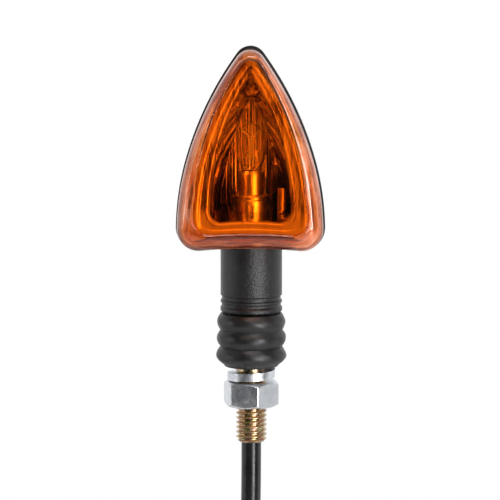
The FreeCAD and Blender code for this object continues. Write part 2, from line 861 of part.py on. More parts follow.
def make_bellows():
    """The rubber neck: three round ribs, a flat foot with a shallow recess, and room for root and flange."""
    body = new_body("rubber_neck")
    rib = S["rib_radius"]
    valley = S["valley_radius"]
    top = S["neck_height"]
    seat = S["seat_radius"]
    rim = S["seat_rim_radius"]
    recess = S["seat_recess"]
    flange = S["flange_radius"]
    ceiling = recess + S["flange_thickness"]
    pocket = S["stem_root_radius"] + 0.3
    floor = S["stem_root_height"] - 0.9
    ridges = [
        (rib + 0.2, 2.1),
        (rib + 0.2, 3.2),
        (valley, 4.9),
        (valley, 5.4),
        (rib, 6.7),
        (rib, 7.7),
        (valley, 9.2),
        (valley, 10.1),
        (rib - 0.05, 11.6),
        (rib - 0.05, 12.5),
    ]
    corners = [
        (rim, 0),
        (seat, 0),
        *ridges,
        (valley + 0.2, 13.5),
        (valley + 0.2, top),
        (pocket, top),
        (pocket, floor),
        (3.2, floor),
        (3.2, 5.0),
        (4.4, 5.0),
        (4.4, ceiling),
        (flange, ceiling),
        (flange, recess),
        (rim, recess),
    ]
    moulded = revolve(body, "moulded", corners)
    tests = [circle_at(radius, height) for radius, height in ridges]
    round_edges(body, "soft_ridges", moulded, 0.85, lambda edge: any(test(edge) for test in tests))
    return body


def thread_flank():
    """How fast a 60 degree thread's flank spreads along the axis for each step towards it."""
    return math.tan(math.radians(30))


def outside_groove():
    """The cutter for the stud's thread: a V with a flat bottom, and straight sides past the crest."""
    radius = S["thread_radius"]
    pitch = S["thread_pitch"]
    depth = S["thread_depth"]
    height = -(S["stud_length"] + pitch)
    mouth = pitch * 0.4375
    root = mouth - depth * thread_flank()
    over = 0.3
    return [
        (radius - depth, height - root),
        (radius, height - mouth),
        (radius + over, height - mouth),
        (radius + over, height + mouth),
        (radius, height + mouth),
        (radius - depth, height + root),
    ]


def inside_groove():
    """The cutter for the nut's thread: the stud's ridge with a clearance, half a pitch off its groove."""
    radius = S["thread_radius"]
    pitch = S["thread_pitch"]
    clear = S["thread_clearance"]
    height = pitch * 6.5 - S["stud_length"]
    hole = radius - S["thread_depth"] + clear
    crest = pitch * 0.0625 + clear
    mouth = crest + (radius - hole) * thread_flank()
    tip = crest - clear * thread_flank()
    over = 0.3
    return [
        (radius + clear, height + tip),
        (hole, height + mouth),
        (hole - over, height + mouth),
        (hole - over, height - mouth),
        (hole, height - mouth),
        (radius + clear, height - tip),
    ]


def make_stud():
    """The hollow stud: a flange in the rubber, a short plain neck and an M8 thread to its chamfered end."""
    body = new_body("stud")
    radius = S["thread_radius"]
    bore = S["stud_bore_radius"]
    end = S["stud_length"]
    flange = S["flange_radius"]
    recess = S["seat_recess"]
    ceiling = recess + S["flange_thickness"]
    root = radius - S["thread_depth"]
    corners = [
        (bore, -end),
        (root, -end),
        (radius, radius - end - root),
        (radius, recess),
        (flange, recess),
        (flange, ceiling),
        (4.4, ceiling),
        (4.4, 5.0),
        (bore, 5.0),
    ]
    revolve(body, "turned", corners)
    pitch = S["thread_pitch"]
    wind(body, "thread", outside_groove(), pitch, end + pitch - 1.6, "PartDesign::SubtractiveHelix")
    return body


def make_hex_nut():
    """A plain hexagon nut, chamfered on both faces, with an M8 thread that clears the stud's."""
    body = new_body("hex_nut")
    top = -S["nut_top_drop"]
    low = top - S["nut_thickness"]
    across = S["nut_across_flats"]
    outer = across / math.sqrt(3)
    plan = new_sketch(body, "hexagon", "XY_Plane", offset=low)
    turn = FreeCAD.Rotation(FreeCAD.Vector(0, 0, 1), S["nut_turned"].value)
    plan.AttachmentOffset = FreeCAD.Placement(plan.AttachmentOffset.Base, turn)
    plan.setExpression("AttachmentOffset.Rotation.Angle", S["nut_turned"].text)
    half = across / 2
    draw_outline(plan, [(outer, 0), (outer / 2, half), (-outer / 2, half), (-outer, 0),
                        (-outer / 2, -half), (outer / 2, -half)])
    extrude(body, "block", plan, S["nut_thickness"])
    # the corners are turned off at 30 degrees, from just inside the flats
    face = across / 2 - 0.2
    past = outer + 0.5
    drop = (past - face) * math.tan(math.radians(30))
    revolve(body, "top_chamfer", [(face, top), (past, top - drop), (past, top)], "PartDesign::Groove")
    revolve(body, "foot_chamfer", [(face, low), (past, low), (past, low + drop)], "PartDesign::Groove")
    radius = S["thread_radius"]
    clear = S["thread_clearance"]
    hole = radius - S["thread_depth"] + clear
    mouth = radius + 0.3
    lead = mouth - hole
    revolve(body, "hole", [(0, low), (mouth, low), (hole, low + lead), (hole, top - lead), (mouth, top),
                           (0, top)], "PartDesign::Groove")
    pitch = S["thread_pitch"]
    wind(body, "thread", inside_groove(), pitch, pitch * 8, "PartDesign::SubtractiveHelix")
    return body


def make_lock_washer():
    """A split spring washer: one turn of square section that rises a little less than its thickness."""
    body = new_body("lock_washer")
    low = -S["nut_top_drop"] + 0.05
    inner = S["washer_inner_radius"]
    outer = S["washer_outer_radius"]
    high = low + S["washer_thickness"]
    share = 0.975
    corners = [(inner, low), (outer, low), (outer, high), (inner, high)]
    wind(body, "ring", corners, S["washer_rise"] / share, S["washer_rise"], "PartDesign::AdditiveHelix")
    turn = FreeCAD.Rotation(FreeCAD.Vector(0, 0, 1), S["washer_turned"].value)
    body.Placement = FreeCAD.Placement(FreeCAD.Vector(), turn)
    body.setExpression("Placement.Rotation.Angle", S["washer_turned"].text)
    return body


def make_rod(name, radius, low, high):
    """A plain round rod on the Z axis between two heights."""
    body = new_body(name)
    revolve(body, "rod", [(0, low), (radius, low), (radius, high), (0, high)])
    return body


def make_hank():
    """The put-away length of the cable, as the outer shape of its folded runs."""
    body = new_body("cable_hank")
    half = S["hank_half_width"]
    bend = S["hank_corner_radius"]
    top = -S["hank_top_drop"]
    low = top - S["hank_length"]
    outline = new_sketch(body, "outline", offset=-S["hank_half_depth"])
    draw_outline(outline, [
        (-half, low + bend, bend),
        (bend - half, low),
        (half - bend, low, bend),
        (half, low + bend),
        (half, top - bend, bend),
        (half - bend, top),
        (bend - half, top, bend),
        (-half, top - bend),
    ])
    extrude(body, "runs", outline, S["hank_half_depth"] * 2)
    return body


def make_hank_tie():
    """A flat strap round the middle of the hank."""
    body = new_body("hank_tie")
    middle = -S["hank_top_drop"] - S["hank_length"] / 2
    half = S["hank_half_width"]
    deep = S["hank_half_depth"]
    wall = S["tie_thickness"]
    width = S["tie_width"]
    plan = new_sketch(body, "strap_outline", "XY_Plane", offset=middle - width / 2)
    draw_outline(plan, [(-half - wall, -deep - wall), (half + wall, -deep - wall),
                        (half + wall, deep + wall), (-half - wall, deep + wall)])
    extrude(body, "strap", plan, width)
    hollow = new_sketch(body, "hollow_outline", "XY_Plane", offset=middle - width / 2)
    draw_outline(hollow, [(-half, -deep), (half, -deep), (half, deep), (-half, deep)])
    extrude(body, "hollow", hollow, width, "PartDesign::Pocket", backward=True)
    return body


def make_end_sleeve():
    """The moulded sleeve where the cable parts into its two cores."""
    body = new_body("end_sleeve")
    top = -S["hank_top_drop"] - S["hank_length"]
    low = top - S["end_sleeve_length"]
    corners = [(0, low), (2.7, low), (3.4, low + 1.0), (3.4, top - 3.0), (2.9, top), (0, top)]
    revolve(body, "moulded", corners)
    return body


# how far behind the cable's line the cores end, in their terminals
CORE_SET_BACK = 0.2


def make_cores(low):
    """The live and earth cores, which part below the sleeve and hang side by side."""
    radius = S["core_radius"].value
    spread = S["core_spread"].value
    for name, side in (("live_core", -1), ("earth_core", 1)):
        points = [
            (side * 1.15, 0, low),
            (side * 1.3, CORE_SET_BACK, low - 10.0),
            (side * (spread - 0.1), CORE_SET_BACK + 0.1, low - 23.0),
            (side * spread, CORE_SET_BACK, low - S["core_length"].value),
        ]
        make_tube(name, points, radius)


def core_end():
    """The height where the cores end in their terminals."""
    return -S["hank_top_drop"] - S["hank_length"] - S["end_sleeve_length"] - S["core_length"]


def make_pair(name, maker):
    """Two of one small part, at the ends of the two cores, kept as separate solids of one node."""
    single = maker(name + "_left")
    other = doc.addObject("Part::Mirroring", name + "_right")
    other.Source = single
    other.Normal = FreeCAD.Vector(1, 0, 0)
    pair = doc.addObject("Part::Compound", name)
    pair.Links = [single, other]
    pair.Label = name
    doc.recompute()
    return pair


def make_terminal(name):
    """A bullet terminal: a crimped barrel, a waist and a round nose."""
    body = new_body(name)
    nose = S["terminal_radius"]
    top = core_end()
    corners = [
        (0, top - 19.0),
        (1.1, top - 19.0),
        (nose, top - 17.6),
        (nose, top - 14.6),
        (1.35, top - 13.6),
        (1.35, top - 12.6),
        (nose, top - 11.8),
        (nose, top - 8.0),
        (1.5, top - 7.4),
        (1.5, top),
        (0, top),
    ]
    revolve(body, "turned", corners)
    move_left(body, S["core_spread"], CORE_SET_BACK)
    return body


def make_terminal_sleeve(name):
    """The soft insulating sleeve over a terminal's barrel and the end of its core."""
    body = new_body(name)
    top = core_end()
    corners = [
        (1.5, top - 7.4),
        (2.3, top - 7.4),
        (2.3, top + 1.5),
        (1.6, top + 4.5),
        (1.25, top + 4.5),
        (1.25, top),
        (1.5, top),
    ]
    revolve(body, "moulded", corners)
    move_left(body, S["core_spread"], CORE_SET_BACK)
    return body


def move_left(body, distance, back=0.0):
    """Move a part that is drawn on the Z axis to the left, and a little back."""
    body.Placement = FreeCAD.Placement(FreeCAD.Vector(-distance.value, back, 0), FreeCAD.Rotation())
    body.setExpression("Placement.Base.x", (-distance).text)


def make_inner_wires():
    """The two wires from the cable's end in the stem up to the bulb holder."""
    low = S["bush_height"] - S["inner_wire_length"]
    make_rod("live_wire", S["inner_wire_radius"], low, S["bush_height"] - 0.8)
    earth = make_rod("earth_wire", S["inner_wire_radius"], low, S["bush_height"])
    move_left(earth, S["earth_wire_offset"])


# ---- build everything ---------------------------------------------------------------------------------

make_rear_housing()
make_lens()
make_lens_gasket()
make_reflector()
make_lens_screw()
make_stem_tube()
make_socket_bush()
make_socket_shell()
make_socket_insulator()
make_socket_plunger()
make_socket_spring()
make_bulb_cap()
make_bulb_insulator()
make_bulb_contact()
make_bulb_glass()
make_bulb_bead()
make_bulb_wires()
make_bulb_filament()
make_earth_strip()
make_bellows()
make_stud()
make_hex_nut()
make_lock_washer()
cable_end = S["bush_height"] - S["inner_wire_length"]
make_rod("neck_cable", S["cable_radius"], -S["stud_length"], cable_end)
make_inner_wires()
make_rod("cable_drop", S["cable_radius"], -S["hank_top_drop"], -S["stud_length"])
make_hank()
make_hank_tie()
make_end_sleeve()
make_cores(-(S["hank_top_drop"] + S["hank_length"] + S["end_sleeve_length"]).value)
make_pair("bullet_terminals", make_terminal)
make_pair("terminal_sleeves", make_terminal_sleeve)
doc.recompute()

NODES = [
    "rear_housing", "lens", "lens_gasket", "reflector", "lens_screw", "stem_tube", "socket_bush",
    "socket_shell", "socket_insulator", "socket_plunger", "socket_spring", "bulb_cap", "bulb_insulator",
    "bulb_contact", "bulb_glass", "bulb_bead", "bulb_wires", "bulb_filament", "earth_strip", "rubber_neck",
    "stud", "hex_nut", "lock_washer", "neck_cable", "live_wire", "earth_wire", "cable_drop", "cable_hank",
    "hank_tie", "end_sleeve", "live_core", "earth_core", "bullet_terminals", "terminal_sleeves",
]

broken = [thing.Name for thing in doc.Objects if "Invalid" in thing.State or "Error" in thing.State]
if broken:
    raise RuntimeError(f"these did not build: {broken}")

os.makedirs("parts", exist_ok=True)
for node in NODES:
    part = doc.getObjectsByLabel(node)[0]
    shape = part.Shape
    if shape.isNull() or not shape.isValid():
        raise RuntimeError(f"{node} has no valid shape")
    box = shape.optimalBoundingBox()
    print(
        f"{node}: {len(shape.Solids)} solid(s), {shape.Volume:.1f} mm3,"
        f" x {box.XMin:.2f}..{box.XMax:.2f}, y {box.YMin:.2f}..{box.YMax:.2f},"
        f" z {box.ZMin:.2f}..{box.ZMax:.2f}"
    )
    shape.exportStep(f"parts/{node}.step")
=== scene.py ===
# %% [markdown]
# A motorcycle turn signal on a white table-top.
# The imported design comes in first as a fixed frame: every shell, screw, stud and bulb part is already in its
# place, in metres. This lesson gives those parts their finishes, and builds again, as finer surfaces, the few
# that a plain solid can't show well: the amber lens, the fluted reflector, the lamp's coil, the earth strip,
# the rubber neck, the nut, the cable and its tie.

import bpy
import math

import numpy as np
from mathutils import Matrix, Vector


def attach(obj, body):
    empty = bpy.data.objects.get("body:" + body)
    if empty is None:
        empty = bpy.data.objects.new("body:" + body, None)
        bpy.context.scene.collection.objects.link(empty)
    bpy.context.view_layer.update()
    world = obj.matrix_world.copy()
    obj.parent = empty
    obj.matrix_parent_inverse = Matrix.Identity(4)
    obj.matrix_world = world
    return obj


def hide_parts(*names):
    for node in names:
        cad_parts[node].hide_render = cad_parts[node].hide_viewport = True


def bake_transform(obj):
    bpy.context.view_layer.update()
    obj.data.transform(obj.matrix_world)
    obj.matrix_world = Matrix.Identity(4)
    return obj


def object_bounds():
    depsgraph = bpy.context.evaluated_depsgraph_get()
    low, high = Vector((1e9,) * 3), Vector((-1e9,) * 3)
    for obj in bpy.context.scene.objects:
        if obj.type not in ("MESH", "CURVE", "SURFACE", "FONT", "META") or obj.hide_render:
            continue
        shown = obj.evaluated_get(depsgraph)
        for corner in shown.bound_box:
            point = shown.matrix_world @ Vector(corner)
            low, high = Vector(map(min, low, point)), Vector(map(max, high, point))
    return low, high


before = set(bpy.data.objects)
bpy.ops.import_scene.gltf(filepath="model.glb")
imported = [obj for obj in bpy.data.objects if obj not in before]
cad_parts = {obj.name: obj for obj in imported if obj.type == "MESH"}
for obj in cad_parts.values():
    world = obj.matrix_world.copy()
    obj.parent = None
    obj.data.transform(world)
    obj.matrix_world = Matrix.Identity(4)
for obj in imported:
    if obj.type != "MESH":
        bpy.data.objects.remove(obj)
CAD_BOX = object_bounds()
MM = 0.001
print("nodes in the frame:", len(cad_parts))

# %% [markdown]
# The camera stands a little above the lens and a little to its right, far away with a long lens, as for a
# catalogue picture. A long lens keeps the stem's sides parallel. Its place is worked out from the target, the
# distance and two angles, so that one number can be changed without the others.

# %% The camera
TARGET = Vector((-0.34, 0.0, 30.35)) * MM
CAMERA_DISTANCE = 0.65
FOCAL_LENGTH = 180.3
SENSOR_WIDTH = 36.0
CAMERA_RISE = math.radians(7.2)
CAMERA_TURN = math.radians(1.2)


def add_camera():
    """A long lens that looks at the target, from the rise above the horizon and the turn to the right."""
    data = bpy.data.cameras.new("catalogue_lens")
    data.lens = FOCAL_LENGTH
    data.sensor_width = SENSOR_WIDTH
    camera = bpy.data.objects.new("catalogue_camera", data)
    level = math.cos(CAMERA_RISE)
    back = Vector((math.sin(CAMERA_TURN) * level, -math.cos(CAMERA_TURN) * level, math.sin(CAMERA_RISE)))
    camera.location = TARGET + back * CAMERA_DISTANCE
    camera.rotation_euler = (-back).to_track_quat("-Z", "Y").to_euler()
    bpy.context.scene.collection.objects.link(camera)
    bpy.context.scene.camera = camera
    return camera


print("camera at", add_camera().location)

# %% [markdown]
# A surface here is a grid of points that numpy works out all at once. Rings of points, each with the same
# number, are joined by quads. A pole closes an end with a fan of triangles, and a loop of rings closes on
# itself. The grid decides which way the faces look, so the rings run the same way round in every piece.

# %% From rings of points to a mesh
def ring_faces(rings, count, looped=False):
    """Quads between neighbouring rings, each closed on itself: corner (i, j) to (i+1, j) to (i+1, j+1)."""
    rows = rings if looped else rings - 1
    row, column = np.meshgrid(np.arange(rows), np.arange(count), indexing="ij")
    after = (row + 1) % rings
    beside = (column + 1) % count
    corners = [row * count + column, after * count + column, after * count + beside, row * count + beside]
    return np.stack(corners, axis=-1).reshape(-1, 4)


def add_mesh(name, points, faces):
    """A smooth mesh object at the origin, from points in metres and faces as lists of point numbers."""
    mesh = bpy.data.meshes.new(name)
    mesh.from_pydata(points.tolist(), [], [list(face) for face in faces])
    mesh.polygons.foreach_set("use_smooth", np.full(len(mesh.polygons), True))
    mesh.update()
    piece = bpy.data.objects.new(name, mesh)
    bpy.context.scene.collection.objects.link(piece)
    return piece


def skin(name, rings, first_pole=None, last_pole=None, looped=False):
    """A smooth piece over rings of points (ring, point, xyz), with a pole at each end that is given."""
    rows, count, _ = rings.shape
    points = [rings.reshape(-1, 3)]
    faces = ring_faces(rows, count, looped).tolist()
    around = np.arange(count)
    beside = (around + 1) % count
    total = rows * count
    if first_pole is not None:
        points.append(np.asarray(first_pole)[None])
        faces += np.stack([np.full(count, total), around, beside], axis=-1).tolist()
        total += 1
    if last_pole is not None:
        points.append(np.asarray(last_pole)[None])
        last = (rows - 1) * count
        faces += np.stack([np.full(count, total), last + beside, last + around], axis=-1).tolist()
    return add_mesh(name, np.concatenate(points), faces)


def turned_rings(profile, count):
    """Rings about the Z axis: the point (r, z) of the profile goes to (r cos a, r sin a, z).

    The angle runs clockwise from above, so a profile that rises on its outside faces outwards.
    """
    profile = np.asarray(profile, float)
    angle = np.linspace(0, -2 * math.pi, count, endpoint=False)
    radius = profile[:, :1]
    height = np.broadcast_to(profile[:, 1:], (len(profile), count))
    return np.stack([radius * np.cos(angle), radius * np.sin(angle), height], axis=-1)


def eased(share):
    """0 before 0, 1 after 1, and a smooth step between."""
    share = np.clip(share, 0.0, 1.0)
    return share * share * (3.0 - 2.0 * share)


# %% [markdown]
# The cable comes out of the stud's end and hangs straight. Its spare length is folded into a hank below,
# held by a tie, and its end parts into two thin cores with bullet terminals. A cable is one smooth line with
# a round section, so it is a NURBS curve with a bevel, and its control points are the route. Each fold of the
# hank is half a turn of a polygon that the curve rounds off.

# %% The cable and its two cores
CABLE_RADIUS = 2.6 * MM
HANK_HALF_WIDTH = 16.2
HANK_LAYER = 2.7
FOLD_STEPS = 7
CORE_RADIUS = 0.9 * MM
CORE_OFFSET = 1.15
CORE_START = -169.0


def add_cord(name, route, radius):
    """A cord whose smooth line follows the route's points, in millimetres."""
    data = bpy.data.curves.new(name, "CURVE")
    data.dimensions = "3D"
    spline = data.splines.new("NURBS")
    spline.points.add(len(route) - 1)
    for point, place in zip(spline.points, route):
        point.co = (place[0] * MM, place[1] * MM, place[2] * MM, 1.0)
    spline.order_u = 3
    spline.use_endpoint_u = True
    spline.resolution_u = 12
    data.bevel_depth = radius
    data.bevel_resolution = 6
    data.use_fill_caps = True
    cord = bpy.data.objects.new(name, data)
    bpy.context.scene.collection.objects.link(cord)
    return cord


def fold(side, middle, reach, layer):
    """Half a turn from one side of the hank to the other: below the middle, or above it with reach -1.

    The points are the corners of a polygon that lies just outside the half circle.
    """
    outside = HANK_HALF_WIDTH / math.cos(math.pi / FOLD_STEPS / 2)
    points = []
    for step in range(FOLD_STEPS):
        angle = math.pi * (step + 0.5) / FOLD_STEPS
        points.append((side * outside * math.cos(angle), layer, middle - reach * outside * math.sin(angle)))
    return points


cable_route = [
    (0, 0, -20),
    (0, 0, -44),
    (-1.5, -1.8, -54),
    (-8, -2.7, -63),
    (-HANK_HALF_WIDTH, -2.7, -74),
    (-HANK_HALF_WIDTH, -2.7, -96),
    *fold(-1, -123.5, 1, -HANK_LAYER),
    (HANK_HALF_WIDTH, -1.2, -114),
    (HANK_HALF_WIDTH, 1.6, -90),
    *fold(1, -79.0, -1, HANK_LAYER),
    (-HANK_HALF_WIDTH, 2.8, -100),
    (-HANK_HALF_WIDTH, 2.8, -118),
    (-7, 2.8, -130),
    (-1, 2.8, -138),
    (0, 0.9, -146),
    (0, 0, -153),
]
cable = add_cord("cable", cable_route, CABLE_RADIUS)
cores = []
for name, side in (("live_wire_end", -1), ("earth_wire_end", 1)):
    core_route = [
        (side * CORE_OFFSET, 0, CORE_START),
        (side * 1.3, 0.2, -179),
        (side * 4.0, 0.3, -192),
        (side * 4.1, 0.2, -204),
    ]
    cores.append(add_cord(name, core_route, CORE_RADIUS))
print("cable points:", len(cable_route))

# %% [markdown]
# The table-top is a round pale board that the end of the cable just reaches. The light is plain and soft:
# white all round behind the object, dimmer in front, and six soft boxes. The one at the front right draws the
# sheen on the stem and neck, the narrow strip beside it draws the bright line on the lens's rim, and the
# others at the sides and above draw the edges.

# %% The floor and the light
FLOOR_GAP = 0.4 * MM
FLOOR_RADIUS = 0.6
FLOOR_THICKNESS = 10 * MM
LIGHT_AIM = Vector((0, 0, 30)) * MM


def add_floor():
    """A thin round board just under the object's lowest point."""
    top = CAD_BOX[0].z - FLOOR_GAP
    foot = top - FLOOR_THICKNESS
    profile = [(FLOOR_RADIUS, foot), (FLOOR_RADIUS, top), (FLOOR_RADIUS / 2, top)]
    rings = turned_rings(profile, 96)
    return skin("table_top", rings, (0, 0, foot), (0, 0, top))


def add_soft_box(name, azimuth, height, distance, size, power):
    """A rectangular light that looks at the head's foot: azimuth 0 is in front, 90 on the lens's right."""
    data = bpy.data.lights.new(name, "AREA")
    data.shape = "RECTANGLE"
    data.size, data.size_y = size
    data.energy = power
    light = bpy.data.objects.new(name, data)
    turn = math.radians(azimuth)
    place = Vector((math.sin(turn) * distance, -math.cos(turn) * distance, height))
    light.location = place
    light.rotation_euler = (LIGHT_AIM - place).to_track_quat("-Z", "Y").to_euler()
    light.visible_camera = False
    bpy.context.scene.collection.objects.link(light)
    return light


floor = add_floor()
SOFT_BOXES = [
    ("front_right_box", 24.0, 0.08, 0.70, (0.26, 0.60), 2.0),
    ("right_strip", 35.0, 0.08, 0.70, (0.05, 0.60), 2.6),
    ("right_box", 98.0, 0.05, 0.70, (0.35, 0.80), 0.6),
    ("left_box", -98.0, 0.05, 0.70, (0.35, 0.80), 0.5),
    ("front_left_box", -74.0, 0.12, 0.80, (0.14, 0.60), 0.9),
    ("top_box", 10.0, 0.75, 0.35, (0.40, 0.30), 2.6),
]
for box_name, azimuth, height, distance, size, power in SOFT_BOXES:
    add_soft_box(box_name, azimuth, height, distance, size, power)
print("soft boxes:", len(SOFT_BOXES))


# %% [markdown]
# Shader maths reads best as plain Python. This small class stands for one socket, and a sum or product of two
# of them adds the Math node. Every other node comes from one function: its type, its settings, then the
# values or links of its inputs.

# %% A socket that can be added and multiplied
class Wire:
    """One output socket of a shader tree."""

    def __init__(self, tree, socket):
        self.tree = tree
        self.socket = socket

    def math(self, operation, first, second):
        return add_node(self.tree, "ShaderNodeMath", {"operation": operation}, {0: first, 1: second})

    def __add__(self, other):
        return self.math("ADD", self, other)

    def __sub__(self, other):
        return self.math("SUBTRACT", self, other)

    def __rsub__(self, other):
        return self.math("SUBTRACT", other, self)

    def __mul__(self, other):
        return self.math("MULTIPLY", self, other)

    __radd__ = __add__
    __rmul__ = __mul__


def add_node(tree, kind, settings=None, inputs=None, output=0):
    """A node of this kind: its settings first, then its inputs by name or number. Returns one output."""
    node = tree.nodes.new(kind)
    for name, value in (settings or {}).items():
        if name == "stops":
            set_stops(node.color_ramp, value)
        else:
            setattr(node, name, value)
    for name, value in (inputs or {}).items():
        if isinstance(value, Wire):
            tree.links.new(value.socket, node.inputs[name])
        else:
            node.inputs[name].default_value = value
    return Wire(tree, node.outputs[output]) if node.outputs else None


def set_stops(ramp, stops):
    """Gives a colour ramp these stops, each a place and a colour."""
    while len(ramp.elements) < len(stops):
        ramp.elements.new(0.5)
    for element, (place, colour) in zip(ramp.elements, stops):
        element.position = place
        element.color = (*colour, 1.0)


def new_material(name):
    """An empty material with its tree."""
    material = bpy.data.materials.new(name)
    material.use_nodes = True
    material.node_tree.nodes.clear()
    return material, material.node_tree


def finish_material(material, shader):
    """Links the shader to the material's output."""
    add_node(material.node_tree, "ShaderNodeOutputMaterial", None, {"Surface": shader})
    return material


def own_place(tree, stretch=(1.0, 1.0, 1.0)):
    """Object coordinates, stretched along the axes."""
    place = add_node(tree, "ShaderNodeTexCoord", output=3)
    return add_node(tree, "ShaderNodeMapping", None, {"Vector": place, "Scale": stretch})


def noise(tree, place, scale, detail=3.0, roughness=0.5, distortion=0.0):
    """Cloudy noise from 0 to 1, scale patches to the metre."""
    inputs = {
        "Vector": place,
        "Scale": scale,
        "Detail": detail,
        "Roughness": roughness,
        "Distortion": distortion,
    }
    return add_node(tree, "ShaderNodeTexNoise", None, inputs)


def spread(tree, value, low, high, to_low, to_high):
    """The value from low to high carried to to_low to to_high, and held at both ends."""
    inputs = {"Value": value, 1: low, 2: high, 3: to_low, 4: to_high}
    return add_node(tree, "ShaderNodeMapRange", {"clamp": True}, inputs)


def ramp(tree, value, stops):
    """A colour read off a ramp by the value."""
    return add_node(tree, "ShaderNodeValToRGB", {"stops": stops}, {"Fac": value})


def bump(tree, height, distance):
    """A normal that a height field tilts, with the field's depth in metres."""
    return add_node(tree, "ShaderNodeBump", None, {"Height": height, "Distance": distance, "Strength": 1.0})


def principled(tree, **inputs):
    """A Principled shader, its sockets named with underscores."""
    named = {name.replace("_", " "): value for name, value in inputs.items()}
    return add_node(tree, "ShaderNodeBsdfPrincipled", None, named)


def own_axis(tree, axis):
    """One object coordinate in metres: 0 is x, 1 is y and 2 is z."""
    return add_node(tree, "ShaderNodeSeparateXYZ", None, {"Vector": own_place(tree)}, output=axis)


def lets_lamps_through(tree, filter_tint, solid):
    """The solid for every ray but those that look for a lamp, which cross a plain tinted filter."""
    through = add_node(tree, "ShaderNodeBsdfTransparent", None, {"Color": filter_tint})
    from_lamp = add_node(tree, "ShaderNodeLightPath", output=1)
    return add_node(tree, "ShaderNodeMixShader", None, {0: from_lamp, 1: solid, 2: through})


# %% [markdown]
# The room's own light comes from a world that is white behind the object and dim in front, as in a small
# light tent with an open front. The backdrop that the camera sees is plain white.

# %% The room
def make_room():
    """White behind, dim in front, and plain white to the camera."""
    world = bpy.data.worlds.new("light_tent")
    world.use_nodes = True
    tree = world.node_tree
    tree.nodes.clear()
    direction = add_node(tree, "ShaderNodeTexCoord", output=0)
    depth = add_node(tree, "ShaderNodeSeparateXYZ", None, {"Vector": direction}, output=1)
    glow = spread(tree, depth, -0.10, 0.80, 0.02, 0.95)
    seen = add_node(tree, "ShaderNodeLightPath", output=0)
    light = glow * (1.0 - seen) + seen
    shader = add_node(tree, "ShaderNodeBackground", None, {"Color": (1, 1, 1, 1), "Strength": light})
    add_node(tree, "ShaderNodeOutputWorld", None, {"Surface": shader})
    bpy.context.scene.world = world


make_room()
bpy.context.scene.view_settings.view_transform = "Standard"
cycles = bpy.context.scene.cycles
cycles.max_bounces = 20
cycles.transmission_bounces = 16
cycles.glossy_bounces = 8
cycles.transparent_max_bounces = 24
cycles.caustics_refractive = False

# %% [markdown]
# Seen from the front the head is a rounded arrowhead. Its outline is eight arcs that run smoothly into each
# other: two for each side, one for the tip and each lower corner, and a long one that hollows the bottom.
# Complex numbers make arcs short to write, because a turn is one product. The same outline set further in
# gives the lens's face, its inner wall and the reflector's flange.

# %% The head's outline
LOW_SIDE_RADIUS = 67.8
HIGH_SIDE_RADIUS = 85.8
HEAD_HALF_WIDTH = 19.05
WIDEST_HEIGHT = 36.5
SHOULDER_HEIGHT = 55.1
BOTTOM_HEIGHT = 32.2
BOTTOM_RADIUS = 136.0


def bend(start, stop, radius, count):
    """Points of the arc from start up to stop, which turns left, or right where the radius is negative."""
    chord = stop - start
    rise = math.sqrt(max(0.0, radius * radius - abs(chord) ** 2 / 4))
    centre = start + chord / 2 + 1j * chord / abs(chord) * math.copysign(rise, radius)
    sweep = 2 * math.asin(min(1.0, abs(chord) / 2 / radius if radius > 0 else -abs(chord) / 2 / radius))
    turn = np.exp(1j * math.copysign(sweep, radius) * np.arange(count) / count)
    return centre + (start - centre) * turn


def both_sides(right, top):
    """A closed outline from its right half, which starts at the bottom's middle, and the point at its top."""
    left = -np.conj(right[::-1])
    return np.concatenate([right, [top], left[:-1]])


def head_outline(inset, floor_inset, tip_radius, corner_radius):
    """The arrowhead as x + iz in millimetres, inside the housing's own outline by the insets."""
    low = LOW_SIDE_RADIUS - inset
    high = HIGH_SIDE_RADIUS - inset
    floor_radius = BOTTOM_RADIUS + floor_inset
    low_centre = complex(HEAD_HALF_WIDTH - LOW_SIDE_RADIUS, WIDEST_HEIGHT)
    rise = (SHOULDER_HEIGHT - WIDEST_HEIGHT) / LOW_SIDE_RADIUS
    slope = complex(math.sqrt(1 - rise * rise), rise)
    shoulder = low_centre + slope * low
    high_centre = shoulder - slope * high
    tip_centre = 1j * (high_centre.imag + math.sqrt((high - tip_radius) ** 2 - high_centre.real**2))
    tip_edge = high_centre + (tip_centre - high_centre) / abs(tip_centre - high_centre) * high
    floor_centre = 1j * (BOTTOM_HEIGHT - BOTTOM_RADIUS)
    # the corner's centre is where a circle round each neighbour's centre crosses the other
    across = floor_centre - low_centre
    first = low - corner_radius
    second = floor_radius + corner_radius
    along = (abs(across) ** 2 + first**2 - second**2) / (2 * abs(across))
    corner = low_centre + across / abs(across) * (along + 1j * math.sqrt(first**2 - along**2))
    side = low_centre + (corner - low_centre) / abs(corner - low_centre) * low
    foot = floor_centre + (corner - floor_centre) / abs(corner - floor_centre) * floor_radius
    middle = floor_centre + 1j * floor_radius
    right = np.concatenate([
        bend(middle, foot, -floor_radius, 22),
        bend(foot, side, corner_radius, 20),
        bend(side, shoulder, low, 26),
        bend(shoulder, tip_edge, high, 34),
        bend(tip_edge, tip_centre + 1j * tip_radius, tip_radius, 16),
    ])
    return both_sides(right, tip_centre + 1j * tip_radius)


def standing(outline, depth):
    """A ring in metres from an outline x + iz in millimetres, at that y."""
    return np.stack([outline.real, np.broadcast_to(depth, outline.shape), outline.imag], axis=-1) * MM


LENS_INSET = 0.5
LENS_TIP_RADIUS = 4.0
LENS_CORNER_RADIUS = 5.5
outer_edge = head_outline(LENS_INSET, LENS_INSET, LENS_TIP_RADIUS, LENS_CORNER_RADIUS)
print("lens outline:", len(outer_edge), "points, top at", outer_edge.imag.max())

